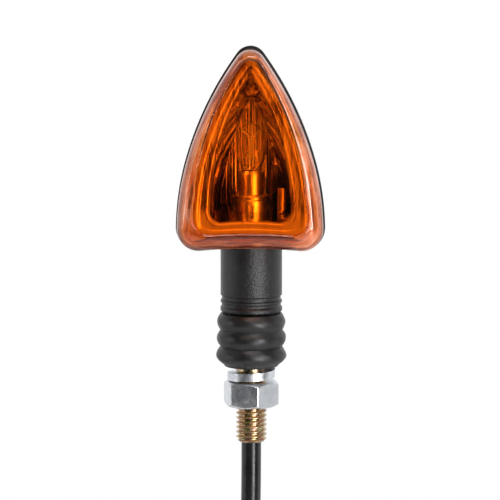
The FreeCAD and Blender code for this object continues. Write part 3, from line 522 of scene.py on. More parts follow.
# %% [markdown]
# The lens is a clear amber cup, about two millimetres thick, moulded in one piece. Its rim is a fat round
# shoulder, and its flat face lies in a shallow step inside it: that step is what catches the light as a
# bright line. Real refraction in the rim needs both of its skins, so one grid runs from the middle of the
# face, over the rim, down the side, under the edge and back up the inside.

# %% The lens
LENS_CENTRE = 52.0j
LENS_SEAT = -11.6
LENS_FRONT = -20.0
RIM_HEIGHT = 3.9
RIM_SHARPNESS = 1.12
STEP_DEPTH = 0.32
WALL_INSET = 2.3
WALL_TIP_RADIUS = 1.8
WALL_CORNER_RADIUS = 3.7
FACE_THICKNESS = 1.9
WIDENING_TOP = 78.0
WIDENING_FALL = 34.0
INNER_BEND = 2.3
FACE_RINGS = 12
STEP_RINGS = 8
RIM_RINGS = 19


def between(first, second, shares, depths):
    """Rings that go from one outline to another by the shares, at the depths."""
    shares = np.asarray(shares)[:, None]
    return standing(first[None] * (1 - shares) + second[None] * shares, np.asarray(depths)[:, None])


def toward_middle(edge, depths, shares):
    """Rings that shrink an outline to the middle by the shares."""
    shares = np.asarray(shares)[:, None]
    return standing(LENS_CENTRE + (edge[None] - LENS_CENTRE) * shares, np.asarray(depths)[:, None])


def face_outline(inset):
    """The edge of the flat face: a narrow rim beside the tip that widens steadily down the sides.

    Two outlines, the first close to the lens's side and the second further in, mixed by the height.
    """
    near_tip = head_outline(1.9 + inset, 1.9 + inset, 3.5 - inset, 3.0)
    low_down = head_outline(3.9 + inset, 4.3 + inset, 1.5, 4.8 - inset)
    share = np.clip((WIDENING_TOP - near_tip.imag) / WIDENING_FALL, 0, 1)
    return near_tip * (1 - share) + low_down * share


def make_lens():
    """Rings, from the face's middle outwards, then down the rim and up the inside.

    The rim is a superellipse from the face's edge to the side: nearly a bevel, round at both ends.
    """
    face_edge = face_outline(0.0)
    step_foot = face_outline(0.5)
    inner_wall = head_outline(WALL_INSET, WALL_INSET, WALL_TIP_RADIUS, WALL_CORNER_RADIUS)
    inner_face = face_outline(0.7)
    rim_foot = LENS_FRONT + RIM_HEIGHT
    face_back = LENS_FRONT + FACE_THICKNESS
    bend_foot = face_back + INNER_BEND
    quarter = np.linspace(0, math.pi / 2, 16)
    rim_across = np.sin(quarter[1:]) ** RIM_SHARPNESS
    rim_down = 1 - np.cos(quarter[1:]) ** RIM_SHARPNESS
    bend_across = 1 - np.cos(quarter[1:])
    face_shares = np.linspace(0.06, 1.0, FACE_RINGS)
    step_shares = np.linspace(1, STEP_RINGS, STEP_RINGS) / STEP_RINGS
    rings = np.concatenate([
        toward_middle(step_foot, LENS_FRONT + STEP_DEPTH * face_shares**2, face_shares),
        between(step_foot, face_edge, step_shares, LENS_FRONT + STEP_DEPTH * (1 - eased(step_shares))),
        between(face_edge, outer_edge, rim_across, LENS_FRONT + RIM_HEIGHT * rim_down),
        between(outer_edge, outer_edge, np.zeros(4), np.linspace(rim_foot + 0.4, LENS_SEAT, 4)),
        between(outer_edge, inner_wall, np.linspace(0.2, 1.0, 4), np.full(4, LENS_SEAT)),
        between(inner_wall, inner_wall, np.zeros(4), np.linspace(LENS_SEAT - 0.4, bend_foot, 4)),
        between(inner_wall, inner_face, bend_across, bend_foot - INNER_BEND * np.sin(quarter[1:])),
        toward_middle(inner_face, np.full(8, face_back), np.linspace(0.9, 0.08, 8)),
    ])
    middle = LENS_CENTRE.imag
    front = np.array([0, LENS_FRONT, middle]) * MM
    back = np.array([0, face_back, middle]) * MM
    return skin("amber_lens", rings, front, back)


lens = make_lens()
print("lens faces:", len(lens.data.polygons))

# %% [markdown]
# Behind the lens lies a bright bowl, moulded and then silvered in a vacuum. Its flange fills the head's
# outline, and the bowl's mouth is a pointed arch with a raised lip. Upright ribs cover its back wall and
# throw the light of the bulb sideways. The bowl is a height field: at each place its depth is the least of
# three surfaces, the steep side wall, the sloping roof and the ribbed back, so their crossings draw the
# arches over the ribs by themselves.

# %% The reflector
BOWL_HALF_WIDTH = 11.1
BOWL_TIP = 78.1
BOWL_FLOOR = 38.2
BOWL_CORNER = 3.6
BOWL_SIDE_RADIUS = 69.0
BOWL_MOUTH = -12.5
BOWL_BACK = 7.0
RIB_PITCH = 3.3
RIB_DEPTH = 1.5
FLANGE_INSET = 2.75
FLANGE_DEPTH = 0.75
FLANGE_RISE = 0.42
RIDGE_RISE = 0.63
RIDGE_PLACE = 0.45
RIDGE_WIDTH = 0.16
ROOF_SLOPE = 2.7
WALL_SLOPE = 5.5
LIP_RISE = 0.3


def bowl_outline():
    """The bowl's mouth: a slightly arched floor, two round corners and two long arcs that meet in a tip."""
    inner = BOWL_HALF_WIDTH - BOWL_CORNER
    floor_radius = BOTTOM_RADIUS / 2
    middle = 1j * (BOWL_FLOOR + floor_radius - math.sqrt(floor_radius**2 - inner**2))
    foot = complex(inner, BOWL_FLOOR)
    side = complex(BOWL_HALF_WIDTH, BOWL_FLOOR + BOWL_CORNER)
    right = np.concatenate([
        bend(middle, foot, -floor_radius, 40),
        bend(foot, side, BOWL_CORNER, 20),
        bend(side, 1j * BOWL_TIP, BOWL_SIDE_RADIUS, 110),
    ])
    return both_sides(right, 1j * BOWL_TIP)


def distance_inside(places, outline):
    """How far each place is from the outline: the least distance to its straight runs."""
    start = outline
    run = np.roll(outline, -1) - outline
    flat = places.reshape(-1, 1)
    share = np.clip(((flat - start) * np.conj(run)).real / np.abs(run) ** 2, 0, 1)
    return np.abs(flat - start - run * share).min(axis=1).reshape(places.shape)


def soft_least(first, second, width):
    """The smaller of two surfaces, with a rounded crossing of about that width."""
    share = np.clip(0.5 + (second - first) / (2 * width), 0, 1)
    return second * (1 - share) + first * share - width * share * (1 - share)


def bowl_depth(places, outline):
    """Depth behind the mouth: the least of wall, roof and ribbed back. Each rib is half a cosine wave."""
    inside = distance_inside(places, outline)
    wall = WALL_SLOPE * inside
    roof = ROOF_SLOPE * (BOWL_TIP - 0.8 - places.imag)
    ribs = RIB_DEPTH * np.abs(np.cos(math.pi * places.real / RIB_PITCH))
    back = BOWL_BACK - BOWL_MOUTH - ribs
    return np.maximum(soft_least(wall, soft_least(roof, back, 0.5), 0.6), 0)


def make_reflector():
    """Rings from the flange's edge to the bowl's mouth, over its lip, and down to the middle of its back."""
    mouth = bowl_outline()
    spokes = np.angle(mouth - LENS_CENTRE)
    edge = head_outline(FLANGE_INSET, FLANGE_INSET, 1.9, 1.0)
    edge_angle = np.angle(edge - LENS_CENTRE)
    reach = np.interp(spokes, edge_angle, np.abs(edge - LENS_CENTRE), period=2 * math.pi)
    edge = LENS_CENTRE + reach * np.exp(1j * spokes)
    # the flange, from its edge to the lip, with one low ridge along its middle
    across = np.linspace(0, 1, 26)
    bell = np.exp(-(((across - RIDGE_PLACE) / RIDGE_WIDTH) ** 2))
    rise = RIDGE_RISE * bell + FLANGE_RISE * eased(across)
    flange = between(edge, mouth, across, BOWL_MOUTH + FLANGE_DEPTH - rise)
    # the bowl: places from the mouth to the middle, closest together by the wall
    inward = 1 - np.linspace(0, 1, 130)[1:-1] ** 1.7
    places = LENS_CENTRE + (mouth - LENS_CENTRE)[None] * inward[:, None]
    depth = BOWL_MOUTH - LIP_RISE + bowl_depth(places, mouth)
    bowl = standing(places, depth)
    middle = np.array([LENS_CENTRE])
    bottom = BOWL_MOUTH - LIP_RISE + bowl_depth(middle, mouth)
    return skin("fluted_reflector", np.concatenate([flange, bowl]), None, standing(middle, bottom)[0])


REFLECTOR_WALL = 0.7 * MM
reflector = make_reflector()
shell = reflector.modifiers.new("wall", "SOLIDIFY")
shell.thickness = REFLECTOR_WALL
shell.offset = -1.0
print("reflector faces:", len(reflector.data.polygons))

# %% [markdown]
# The lamp's filament is a fine tungsten coil that stands in a small arch between its two lead wires. A coil
# is a circle carried along a line, and here the line is itself a helix round the arch.

# %% The filament
FILAMENT_FOOT = 61.4
FILAMENT_HALF_SPAN = 2.2
FILAMENT_RISE = 1.7
FILAMENT_TURNS = 26
FILAMENT_WIRE_RADIUS = 0.05
COIL_RADIUS = 0.24


def tube_rings(line, radius, count):
    """Rings of that radius square to a line of points, turned as little as possible from one to the next."""
    ahead = np.gradient(line, axis=0)
    ahead /= np.linalg.norm(ahead, axis=1, keepdims=True)
    beside = np.cross(ahead, (0.0, 1.0, 0.0))
    beside /= np.linalg.norm(beside, axis=1, keepdims=True)
    above = np.cross(beside, ahead)
    angle = np.linspace(0, 2 * math.pi, count, endpoint=False)[None, :, None]
    return line[:, None] + radius * (beside[:, None] * np.cos(angle) + above[:, None] * np.sin(angle))


def make_filament():
    """A helix of small radius round half an ellipse, from one lead wire to the other."""
    share = np.linspace(0, 1, FILAMENT_TURNS * 14)
    arch = math.pi * share
    coil = 2 * math.pi * FILAMENT_TURNS * share
    out = COIL_RADIUS * np.cos(coil)
    x = -(FILAMENT_HALF_SPAN + out) * np.cos(arch)
    z = FILAMENT_FOOT + (FILAMENT_RISE + out) * np.sin(arch)
    line = np.stack([x, COIL_RADIUS * np.sin(coil), z], axis=-1) * MM
    rings = tube_rings(line, FILAMENT_WIRE_RADIUS * MM, 6)
    return skin("filament_coil", rings, line[0], line[-1])


filament = make_filament()
print("filament faces:", len(filament.data.polygons))

# %% [markdown]
# A narrow brass strip stands at the right of the bowl and carries the earth wire. It is pressed with a
# crowned front, so that it keeps stiff, and one round-headed rivet holds it. Its front is a height field too:
# the crown is a parabola across the strip, the rivet's head is half a ball, and the higher of the two wins.

# %% The earth strip
STRIP_MIDDLE = 7.8
STRIP_HALF_WIDTH = 1.0
STRIP_FOOT = 39.4
STRIP_TOP = 47.4
STRIP_BACK = -8.0
STRIP_EDGE = 0.12
STRIP_CROWN = 0.32
RIVET_HEIGHT = 41.2
RIVET_RADIUS = 0.62


def make_strip():
    """Rings from the foot to the top: each runs along the crowned front and back along the flat rear."""
    across = np.linspace(-1, 1, 25)
    x = STRIP_MIDDLE + STRIP_HALF_WIDTH * across
    z = np.linspace(STRIP_FOOT, STRIP_TOP, 81)[:, None]
    crown = STRIP_CROWN * (1 - across**2)
    away = np.hypot(x - STRIP_MIDDLE, z - RIVET_HEIGHT) / RIVET_RADIUS
    rivet = RIVET_RADIUS * np.sqrt(np.clip(1 - away**2, 0, 1))
    front = STRIP_BACK - STRIP_EDGE - np.maximum(crown, rivet)
    rear = np.full_like(front, STRIP_BACK)
    x_ring = np.concatenate([x[::-1], x])
    y_ring = np.concatenate([front[:, ::-1], rear], axis=1)
    rings = np.stack(np.broadcast_arrays(x_ring, y_ring, z), axis=-1) * MM
    foot = rings[0].mean(axis=0)
    top = rings[-1].mean(axis=0)
    return skin("riveted_earth_strip", rings, foot, top)


strip = make_strip()
print("strip faces:", len(strip.data.polygons))

# %% [markdown]
# The neck is soft rubber, so the head can fold out of the way in a fall. It has three fat ribs with sharp
# creases between them. It crosses two joints at one place, one for each way that the head can lean, so it is
# made as two pieces that meet in the lower crease. The cable inside it is cut at the same height for the same
# reason.

# %% The rubber neck and the cable inside it
NECK_TOP = 14.0
CREASES = (0.35, 5.2, 9.5, 13.9)
CREASE_RADII = (7.1, 8.1, 8.05, 7.95)
RIB_RADII = (9.15, 9.0, 8.95)
NECK_CUT = CREASES[1]
NECK_BORE = 5.25
NECK_MOUTH = 6.4
FOOT_BORE = 4.15
FOOT_RECESS = 0.35


def neck_profile(low, high, count):
    """(r, z) points of the ribs from low to high: each rib swells as a fat cosine between its two creases."""
    height = np.linspace(low, high, count)
    rib = np.clip(np.searchsorted(CREASES, height, side="right") - 1, 0, 2)
    foot = np.array(CREASES)[rib]
    head = np.array(CREASES)[rib + 1]
    share = np.clip((2 * height - foot - head) / (head - foot), -1, 1)
    swell = (0.5 + 0.5 * np.cos(math.pi * share)) ** 0.5
    crease = np.array(CREASE_RADII)[rib + (share > 0)]
    radius = crease + (np.array(RIB_RADII)[rib] - crease) * swell
    return np.stack([radius, height], axis=-1)


def crumpled(rings):
    """Rings with the small unevenness of soft rubber: slow waves round the neck that fade at both ends."""
    angle = np.arctan2(rings[..., 1], rings[..., 0])
    height = rings[..., 2] / MM
    wave = np.sin(2 * angle + 0.9 * height) * 0.6 + np.sin(5 * angle - 0.7 * height + 1.0) * 0.4
    wave = wave + 0.35 * np.sin(9 * angle + 2.1 * height + 2.0)
    fade = eased((height - CREASES[0]) / 1.5) * eased((NECK_TOP - height) / 1.2)
    away = 1 + 0.011 * wave * fade
    return np.concatenate([rings[..., :2] * away[..., None], rings[..., 2:]], axis=-1)


def make_neck_piece(name, outside, inside):
    """A closed ring of rubber: the outside from bottom to top, then the bore from top to bottom."""
    rings = turned_rings(np.concatenate([outside, inside]) * MM, 144)
    return skin(name, crumpled(rings), looped=True)


lower_foot = [(FOOT_BORE, FOOT_RECESS), (6.4, FOOT_RECESS), (6.5, 0.02), (6.9, 0.02), (7.1, 0.2)]
lower_neck = make_neck_piece(
    "rubber_neck_lower",
    np.concatenate([lower_foot, neck_profile(CREASES[0] + 0.02, NECK_CUT, 60)]),
    [(NECK_MOUTH, NECK_CUT), (FOOT_BORE, NECK_CUT - 0.2)],
)
upper_neck = make_neck_piece(
    "rubber_neck_upper",
    np.concatenate([neck_profile(NECK_CUT, CREASES[3], 110), [(7.6, NECK_TOP)]]),
    [(6.0, NECK_TOP), (NECK_BORE, NECK_TOP - 0.6), (NECK_BORE, 7.5), (NECK_MOUTH, NECK_CUT)],
)
inner_cables = []
cable_rows = 24
for name, low, high in (("inner_cable_lower", -20.0, NECK_CUT), ("inner_cable_upper", NECK_CUT, 23.0)):
    heights = np.linspace(low, high, cable_rows)
    rings = turned_rings(np.stack([np.full(cable_rows, CABLE_RADIUS), heights * MM], axis=-1), 32)
    inner_cables.append(skin(name, rings, (0, 0, low * MM), (0, 0, high * MM)))
print("neck faces:", len(lower_neck.data.polygons) + len(upper_neck.data.polygons))

# %% [markdown]
# The nut is drawn again with soft edges, because real edges are never sharp and a worn corner is what
# catches the light. Each ring of the grid is the smaller of a hexagon and a circle. The hexagon is the same
# at every height, and the circle shrinks towards both faces, so their crossing draws the chamfer's arcs.

# %% The nut
NUT_TOP = -4.0
NUT_FOOT = -10.5
NUT_FLAT = 6.5
NUT_TURN = math.radians(-15.0)
NUT_HOLE = 4.12
NUT_CORNER = 0.12
NUT_LEAD = 0.4
NUT_FACE_RADIUS = 6.25
NUT_CHAMFER = math.radians(30)


def nut_ring(height, angle):
    """Radii at this height: the softened least of the hexagon and the chamfer's circle."""
    sector = np.mod(angle - NUT_TURN, math.pi / 3) - math.pi / 6
    flat = NUT_FLAT / np.cos(sector)
    from_face = min(NUT_TOP - height, height - NUT_FOOT)
    circle = NUT_FACE_RADIUS + from_face / math.tan(NUT_CHAMFER)
    corner = NUT_FLAT / math.cos(math.pi / 6) - NUT_CORNER
    return np.minimum(soft_least(flat, np.full_like(flat, circle), 0.3), corner)


def make_nut():
    """Rings from the hole at the top, out over the upper face, down the side and in to the hole again."""
    angle = np.linspace(0, 2 * math.pi, 432, endpoint=False)
    near = np.array([0.0, 0.04, 0.09, 0.16, 0.26, 0.38, 0.52, 0.68, 0.86, 1.06, 1.3])
    between_chamfers = np.linspace(NUT_TOP - 1.6, NUT_FOOT + 1.6, 8)
    heights = np.concatenate([NUT_TOP - near, between_chamfers, (NUT_FOOT + near)[::-1]])
    side = [(nut_ring(height, angle), height) for height in heights]
    hole = np.full_like(angle, NUT_HOLE)
    lead = np.full_like(angle, NUT_HOLE + NUT_LEAD)
    inside_top = [(hole, NUT_TOP - NUT_LEAD), (lead, NUT_TOP)]
    inside_foot = [(lead, NUT_FOOT), (hole, NUT_FOOT + NUT_LEAD)]
    rings = [
        np.stack([radius * np.cos(angle), radius * np.sin(angle), np.full_like(angle, height)], axis=-1)
        for radius, height in inside_top + side + inside_foot
    ]
    return skin("soft_edged_nut", np.stack(rings) * MM, looped=True)


nut = make_nut()
print("nut faces:", len(nut.data.polygons))

# %% [markdown]
# A nylon tie holds the hank. It is a flat strap that hugs the folded runs. A strap is a small oblong section
# carried round a rounded rectangle, so six rings of points are enough for it.

# %% The hank's tie
TIE_MIDDLE = -103.0
TIE_HALF_HEIGHT = 2.3
TIE_THICKNESS = 1.0
TIE_HALF_X = 18.9
TIE_HALF_Y = 5.8
TIE_CORNER = 4.6


def rounded_plan(half_x, half_y, radius, count):
    """A rounded rectangle in plan as x + iy, anticlockwise, count points to each corner."""
    angle = np.linspace(0, math.pi / 2, count)
    corner = complex(half_x - radius, half_y - radius) + radius * np.exp(1j * angle)
    left = -np.conj(corner[::-1])
    return np.concatenate([corner, left, -corner, -left])


def make_tie():
    """Rings of a rounded rectangle: the inside's lower edge, up the outside, and the inside's upper edge."""
    inside = rounded_plan(TIE_HALF_X, TIE_HALF_Y, TIE_CORNER, 14)
    outer_corner = TIE_CORNER + TIE_THICKNESS
    outside = rounded_plan(TIE_HALF_X + TIE_THICKNESS, TIE_HALF_Y + TIE_THICKNESS, outer_corner, 14)
    low = TIE_MIDDLE - TIE_HALF_HEIGHT
    high = TIE_MIDDLE + TIE_HALF_HEIGHT
    outer_heights = (low, low + 0.2, high - 0.2, high)
    section = [(inside, low), *((outside, height) for height in outer_heights), (inside, high)]
    rings = [
        np.stack([plan.real, plan.imag, np.full(plan.shape, height)], axis=-1)
        for plan, height in section
    ]
    return skin("hank_tie_strap", np.stack(rings)[::-1] * MM, looped=True)


tie = make_tie()
print("tie faces:", len(tie.data.polygons))

# %% [markdown]
# Amber lens plastic is clear and glossy. Light that crosses it loses its blue and much of its green, so what
# lies behind looks orange, and yellow where it is very bright. A lamp's light has to get in and out again,
# and rays from lamps can't bend through glass, so for those rays alone the same material is a plain tinted
# filter.

# %% Clear finishes
def clear_plastic(name, tint, filter_tint, ior, ripple, ripple_scale):
    """A clear glossy material with faint mould ripples, which lets the light of lamps straight through."""
    material, tree = new_material(name)
    place = own_place(tree)
    waves = noise(tree, place, ripple_scale, 2.0, 0.5)
    dust = noise(tree, place, 2200.0, 2.0, 0.6)
    solid = principled(
        tree,
        Base_Color=tint,
        Roughness=spread(tree, dust, 0.35, 0.75, 0.015, 0.05),
        IOR=ior,
        Transmission_Weight=1.0,
        Normal=bump(tree, waves, ripple),
    )
    return finish_material(material, lets_lamps_through(tree, filter_tint, solid))


AMBER_TINT = (1.0, 0.37, 0.05, 1)
AMBER_FILTER = (1.0, 0.66, 0.28, 1)
AMBER_IOR = 1.49
GLASS_TINT = (0.97, 0.98, 0.97, 1)
GLASS_FILTER = (0.98, 0.98, 0.98, 1)
GLASS_IOR = 1.47
amber = clear_plastic("amber_plastic", AMBER_TINT, AMBER_FILTER, AMBER_IOR, 0.012 * MM, 260.0)
clear_glass = clear_plastic("lamp_glass", GLASS_TINT, GLASS_FILTER, GLASS_IOR, 0.02 * MM, 400.0)
print("clear finishes:", amber.name, clear_glass.name)

# %% [markdown]
# The lens's rim is so thick that light wanders about in it, and it glows a milky salmon pink with long
# streaks that follow its edge. Its material mixes the clear plastic with a plain body colour. The streaks run
# round the rim because their noise is squeezed along the depth of the lens. Low down the body is painted
# darker: painted shade on the foot of the lens.

# %% The rim's finish
RIM_COLOURS = [(0.38, (0.26, 0.035, 0.01)), (0.5, (0.82, 0.22, 0.08)), (0.62, (0.95, 0.42, 0.27))]


def milky_rim():
    """Clear amber mixed with a salmon body under a clear skin, in streaks along the rim, with painted shade
    low down.
    """
    material, tree = new_material("amber_rim")
    streak = noise(tree, own_place(tree, (1.0, 12.0, 1.0)), 90.0, 3.0, 0.6)
    cloud = noise(tree, own_place(tree), 140.0, 3.0, 0.6)
    glass = principled(tree, Base_Color=AMBER_TINT, Roughness=0.04, IOR=AMBER_IOR, Transmission_Weight=1.0)
    # painted shade: the body colour is darkened towards the foot of the lens
    foot = spread(tree, own_axis(tree, 2), 34.0 * MM, 41.0 * MM, 0.09, 0.0)
    body = ramp(tree, streak * 0.6 + cloud * 0.4 - foot, RIM_COLOURS)
    milk = principled(tree, Base_Color=body, Roughness=0.22, Coat_Weight=1.0, Coat_Roughness=0.05)
    amount = spread(tree, streak, 0.32, 0.68, 0.25, 0.80)
    whole = add_node(tree, "ShaderNodeMixShader", None, {0: amount, 1: glass, 2: milk})
    return finish_material(material, lets_lamps_through(tree, AMBER_FILTER, whole))


amber_rim = milky_rim()
print("rim colours:", len(RIM_COLOURS))

# %% [markdown]
# Most of the other parts are black, and blacks differ only in how they shine. The stem is moulded with a
# fine grain, the housing is smoother, rubber is dull with faint streaks, and the cable's vinyl is glossy.
# One function makes them all from a grain, its depth and two roughness values.

# %% Black and coloured plastics
def moulded(name, colour, rough, grain_scale, grain_depth, stretch=(1, 1, 1), patch_scale=90.0, shade=0.35):
    """Plastic or rubber: fine grain in the bump, slow patches in the gloss and in the colour's shade."""
    material, tree = new_material(name)
    place = own_place(tree, stretch)
    grain = noise(tree, place, grain_scale, 3.0, 0.6)
    patch = noise(tree, place, patch_scale, 4.0, 0.6)
    pale = tuple(min(1.0, part * (1 + shade) + 0.002) for part in colour)
    deep = tuple(part * (1 - shade) for part in colour)
    paint = ramp(tree, patch, [(0.3, deep), (0.7, pale)])
    gloss = spread(tree, patch * 0.6 + grain * 0.4, 0.3, 0.7, rough[0], rough[1])
    normal = bump(tree, grain, grain_depth)
    return finish_material(material, principled(tree, Base_Color=paint, Roughness=gloss, Normal=normal))


BLACK = (0.011, 0.011, 0.012)
SOFT_BLACK = (0.012, 0.012, 0.013)
PALE_BLACK = (0.02, 0.02, 0.02)
blacks = {
    "housing": moulded("housing_black", BLACK, (0.26, 0.36), 900.0, 0.01 * MM),
    "stem": moulded("stem_grain", BLACK, (0.26, 0.38), 2200.0, 0.17 * MM),
    "rubber": moulded("neck_rubber", SOFT_BLACK, (0.30, 0.46), 1500.0, 0.035 * MM, (1, 1, 2.2), 160.0, 0.5),
    "gasket": moulded("gasket_rubber", PALE_BLACK, (0.6, 0.75), 1200.0, 0.02 * MM),
    "vinyl": moulded("cable_vinyl", SOFT_BLACK, (0.18, 0.28), 500.0, 0.003 * MM),
    "insulator": moulded("holder_black", (0.03, 0.028, 0.026), (0.5, 0.65), 1200.0, 0.02 * MM),
    "nylon": moulded("tie_nylon", PALE_BLACK, (0.35, 0.5), 800.0, 0.01 * MM),
    "fused_glass": moulded("black_glass", (0.02, 0.02, 0.03), (0.1, 0.2), 900.0, 0.01 * MM),
}
orange_vinyl = moulded("orange_vinyl", (0.85, 0.22, 0.02), (0.22, 0.34), 600.0, 0.006 * MM, shade=0.08)
green_vinyl = moulded("green_vinyl", (0.03, 0.28, 0.07), (0.22, 0.34), 600.0, 0.006 * MM, shade=0.12)
fibre = moulded("pressed_fibre", (0.30, 0.13, 0.06), (0.6, 0.8), 1400.0, 0.03 * MM, shade=0.3)
soft_sleeve = moulded("sleeve_vinyl", (0.62, 0.62, 0.58), (0.25, 0.4), 700.0, 0.01 * MM, shade=0.08)
print("black finishes:", len(blacks))

# %% [markdown]
# Metals shine by their finish. Bright zinc on the nut and washer is faintly blue and cloudy. The stud is
# zinc dipped in yellow chromate, whose thin film changes from gold to pink and green from place to place.
# The other metals drift only between a deeper and a paler tone of their own colour.

# %% Metals
def plated(name, stops, rough, cloud_scale, grain_scale, grain_depth):
    """Metal whose colour drifts along a ramp with slow clouds, with fine marks in its gloss and its bump."""
    material, tree = new_material(name)
    place = own_place(tree)
    cloud = noise(tree, place, cloud_scale, 4.0, 0.6, 0.6)
    mark = noise(tree, place, grain_scale, 3.0, 0.6)
    gloss = spread(tree, cloud * 0.5 + mark * 0.5, 0.3, 0.7, rough[0], rough[1])
    normal = bump(tree, mark, grain_depth)
    paint = ramp(tree, cloud, stops)
    return finish_material(
        material, principled(tree, Base_Color=paint, Metallic=1.0, Roughness=gloss, Normal=normal)
    )


def two_tones(deep, pale):
    """Ramp stops from the deeper tone to the paler one."""
    return [(0.3, deep), (0.7, pale)]


CHROMATE_FILM = [
    (0.30, (0.36, 0.31, 0.15)),
    (0.42, (0.60, 0.48, 0.27)),
    (0.52, (0.62, 0.38, 0.30)),
    (0.62, (0.45, 0.46, 0.25)),
    (0.75, (0.78, 0.69, 0.52)),
]
ZINC = two_tones((0.66, 0.70, 0.76), (0.86, 0.88, 0.90))
NICKEL = two_tones((0.78, 0.74, 0.66), (0.90, 0.87, 0.80))
BRASS = two_tones((0.72, 0.52, 0.22), (0.86, 0.68, 0.34))
STEEL = two_tones((0.48, 0.48, 0.50), (0.62, 0.62, 0.64))
TUNGSTEN = two_tones((0.24, 0.24, 0.26), (0.36, 0.36, 0.38))
SOLDER = two_tones((0.66, 0.66, 0.66), (0.80, 0.80, 0.78))
metals = {
    "zinc": plated("bright_zinc", ZINC, (0.24, 0.46), 420.0, 1800.0, 0.02 * MM),
    "chromate": plated("yellow_chromate", CHROMATE_FILM, (0.2, 0.36), 520.0, 1500.0, 0.008 * MM),
    "nickel": plated("nickel_plate", NICKEL, (0.26, 0.40), 300.0, 1500.0, 0.01 * MM),
    "brass": plated("pressed_brass", BRASS, (0.2, 0.4), 300.0, 1500.0, 0.012 * MM),
    "steel": plated("drawn_steel", STEEL, (0.22, 0.38), 400.0, 1900.0, 0.01 * MM),
    "tungsten": plated("drawn_tungsten", TUNGSTEN, (0.35, 0.5), 900.0, 2500.0, 0.005 * MM),
    "solder": plated("dull_solder", SOLDER, (0.4, 0.6), 600.0, 1500.0, 0.02 * MM),
}
print("metals:", ", ".join(metals))

# %% [markdown]
# The reflector is silvered in a vacuum. In the middle of the bowl the silver is almost a mirror. Low down in
# the two corners its colour is painted dark brown, as painted shade where the corners lie in shadow. On
# the flange round the mouth it is duller and streaked, so there the finish is part metal and part pale paint.
# The depth of a place tells the flange from the bowl, and its height and its distance from the middle find
# the corners.

# %% The silver in the bowl, with painted shade in its corners
FLANGE_BACK = BOWL_MOUTH + 0.3
BOWL_START = BOWL_MOUTH + 1.2
# The ramp's dark brown end is painted shade for the bowl's low corners; the flange's streaks reach its middle.
SILVER_AND_SHADE_COLOURS = [(0.0, (0.86, 0.82, 0.76)), (0.12, (0.76, 0.71, 0.64)), (0.9, (0.11, 0.07, 0.05))]


def bowl_silver_and_shade():
    """A mirror in the bowl with painted shade in its two low corners, and a duller silver on the flange."""
    material, tree = new_material("bowl_silver_and_shade")
    place = own_place(tree)
    streak = noise(tree, own_place(tree, (1.0, 0.3, 0.12)), 900.0, 2.0, 0.6)
    cloud = noise(tree, place, 160.0, 4.0, 0.6)
    aside = add_node(tree, "ShaderNodeMath", {"operation": "ABSOLUTE"}, {0: own_axis(tree, 0)})
    height = own_axis(tree, 2)
    in_bowl = spread(tree, own_axis(tree, 1), FLANGE_BACK * MM, BOWL_START * MM, 0.0, 1.0)
    # painted shade: the colour darkens low down in the bowl, towards its two side walls
    outward = spread(tree, aside, 4.4 * MM, 6.0 * MM, 0.0, 1.0)
    low_down = spread(tree, height, 45.0 * MM, 58.0 * MM, 1.0, 0.0)
    painted_corner_shade = outward * low_down * in_bowl * spread(tree, streak, 0.35, 0.6, 0.75, 1.0)
    flange = 1.0 - in_bowl
    beside = flange * spread(tree, height, 38.5 * MM, 43.0 * MM, 0.15, 1.0)
    stain = beside * spread(tree, streak, 0.45, 0.62, 0.0, 0.62)
    return finish_material(material, principled(
        tree,
        Base_Color=ramp(tree, painted_corner_shade + stain + cloud * 0.1, SILVER_AND_SHADE_COLOURS),
        Metallic=1.0 - flange * spread(tree, streak * beside, 0.38, 0.62, 0.75, 0.25),
        Roughness=spread(tree, cloud, 0.3, 0.7, 0.03, 0.11) + flange * 0.16,
        Normal=bump(tree, noise(tree, place, 900.0), 0.003 * MM),
    ))


silver = bowl_silver_and_shade()
print("silver tones:", len(SILVER_AND_SHADE_COLOURS))

# %% [markdown]
# The table-top is a painted board, almost white. Very slow patches keep it from looking like plain nothing.

# %% The board
white_board, board_tree = new_material("white_board")
board_patch = noise(board_tree, own_place(board_tree), 6.0, 3.0, 0.5)
board_paint = ramp(board_tree, board_patch, two_tones((0.83, 0.83, 0.83), (0.86, 0.86, 0.86)))
finish_material(white_board, principled(board_tree, Base_Color=board_paint, Roughness=0.6))
floor.data.materials.append(white_board)
print("board:", white_board.name)

# %% [markdown]
# Every part of the frame and every new piece now gets its finish, the new pieces ride on their bodies, and
# the plain solids that they stand for are hidden.

# %% Give every part its finish
FINISHES = {
    blacks["housing"]: ["rear_housing"],
    blacks["stem"]: ["stem_tube"],
    blacks["gasket"]: ["lens_gasket"],
    blacks["insulator"]: ["socket_bush"],
    blacks["vinyl"]: ["end_sleeve"],
    blacks["fused_glass"]: ["bulb_insulator"],
    clear_glass: ["bulb_glass", "bulb_bead"],
    fibre: ["socket_insulator"],
    metals["nickel"]: ["bulb_cap", "socket_shell"],
    metals["brass"]: ["socket_plunger", "bullet_terminals"],
    metals["steel"]: ["socket_spring", "lens_screw"],
    metals["solder"]: ["bulb_contact", "bulb_wires"],
    metals["chromate"]: ["stud"],
    metals["zinc"]: ["lock_washer"],
    orange_vinyl: ["live_wire"],
    green_vinyl: ["earth_wire"],
    soft_sleeve: ["terminal_sleeves"],
}
for material, names in FINISHES.items():
    for node_name in names:
        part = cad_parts[node_name]
        for part_slot in part.material_slots:
            part_slot.material = material


def paint_piece(piece, material):
    """One material on the whole piece."""
    piece.data.materials.append(material)
    return piece


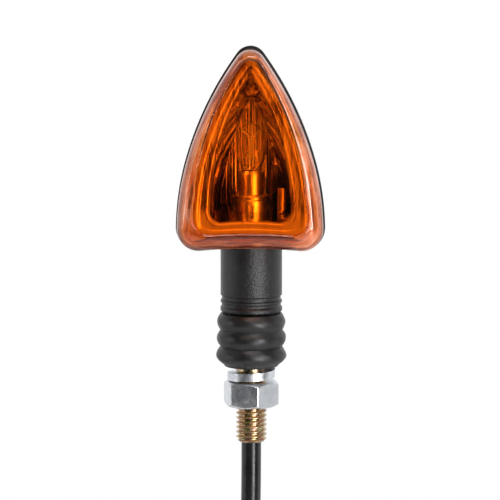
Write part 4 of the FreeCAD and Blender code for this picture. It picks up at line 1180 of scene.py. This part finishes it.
NEW_PIECES = [
    (lens, amber, "lens_amber", "head", ["lens"]),
    (reflector, silver, "reflector_bright", "head", ["reflector"]),
    (filament, metals["tungsten"], "tungsten", "head", ["bulb_filament"]),
    (strip, metals["brass"], "holder_brass", "head", ["earth_strip"]),
    (nut, metals["zinc"], "zinc_bright", "nut", ["hex_nut"]),
    (tie, blacks["nylon"], "tie_black", "base", ["hank_tie"]),
    (cable, blacks["vinyl"], "cable_black", "base", ["cable_drop", "cable_hank"]),
    (cores[0], orange_vinyl, "wire_orange", "base", ["live_core"]),
    (cores[1], green_vinyl, "wire_green", "base", ["earth_core"]),
]
for piece, material, slot_name, body, stands_for in NEW_PIECES:
    paint_piece(piece, material)
    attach(piece, body)
    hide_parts(*stands_for)
print("finished parts:", sum(len(names) for names in FINISHES.values()), "new pieces:", len(NEW_PIECES))

# %% [markdown]
# The lens's rim has its own finish, as a second material on the same mesh. Its faces are found by their row
# in the grid, because the rows were laid in order from the middle of the face outwards.

# %% The lens's second finish
lens.data.materials.append(amber_rim)
rows = np.arange(len(lens.data.polygons)) // len(outer_edge)
first_rim_row = FACE_RINGS + STEP_RINGS - 1
on_rim = (rows >= first_rim_row) & (rows < first_rim_row + RIM_RINGS)
lens.data.polygons.foreach_set("material_index", on_rim.astype(int))
print("faces in the lens's rim:", on_rim.sum())

# %% [markdown]
# Rubber has no hinge. Each piece of the neck, and of the cable inside it, gets its finish, the plain solid
# that it stands for is hidden, and its place is baked into its points. The base and link for the lower pieces,
# the link and head for the upper ones, and the heights between, are listed but not used here.

# %% Finish the neck and its cable
LOWER_BEND = ("base", "neck_link", 0.4 * MM, (NECK_CUT - 0.1) * MM)
UPPER_BEND = ("neck_link", "head", (NECK_CUT + 0.1) * MM, 13.5 * MM)
BENDING_PIECES = [
    (lower_neck, blacks["rubber"], "rubber_black", "rubber_neck", LOWER_BEND),
    (inner_cables[0], blacks["vinyl"], "cable_black", "neck_cable", LOWER_BEND),
    (upper_neck, blacks["rubber"], "rubber_black", "rubber_neck", UPPER_BEND),
    (inner_cables[1], blacks["vinyl"], "cable_black", "neck_cable", UPPER_BEND),
]
for piece, material, slot_name, stands_for, (below, above, start, end) in BENDING_PIECES:
    paint_piece(piece, material)
    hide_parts(stands_for)
    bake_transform(piece)
print("bending pieces:", len(BENDING_PIECES))
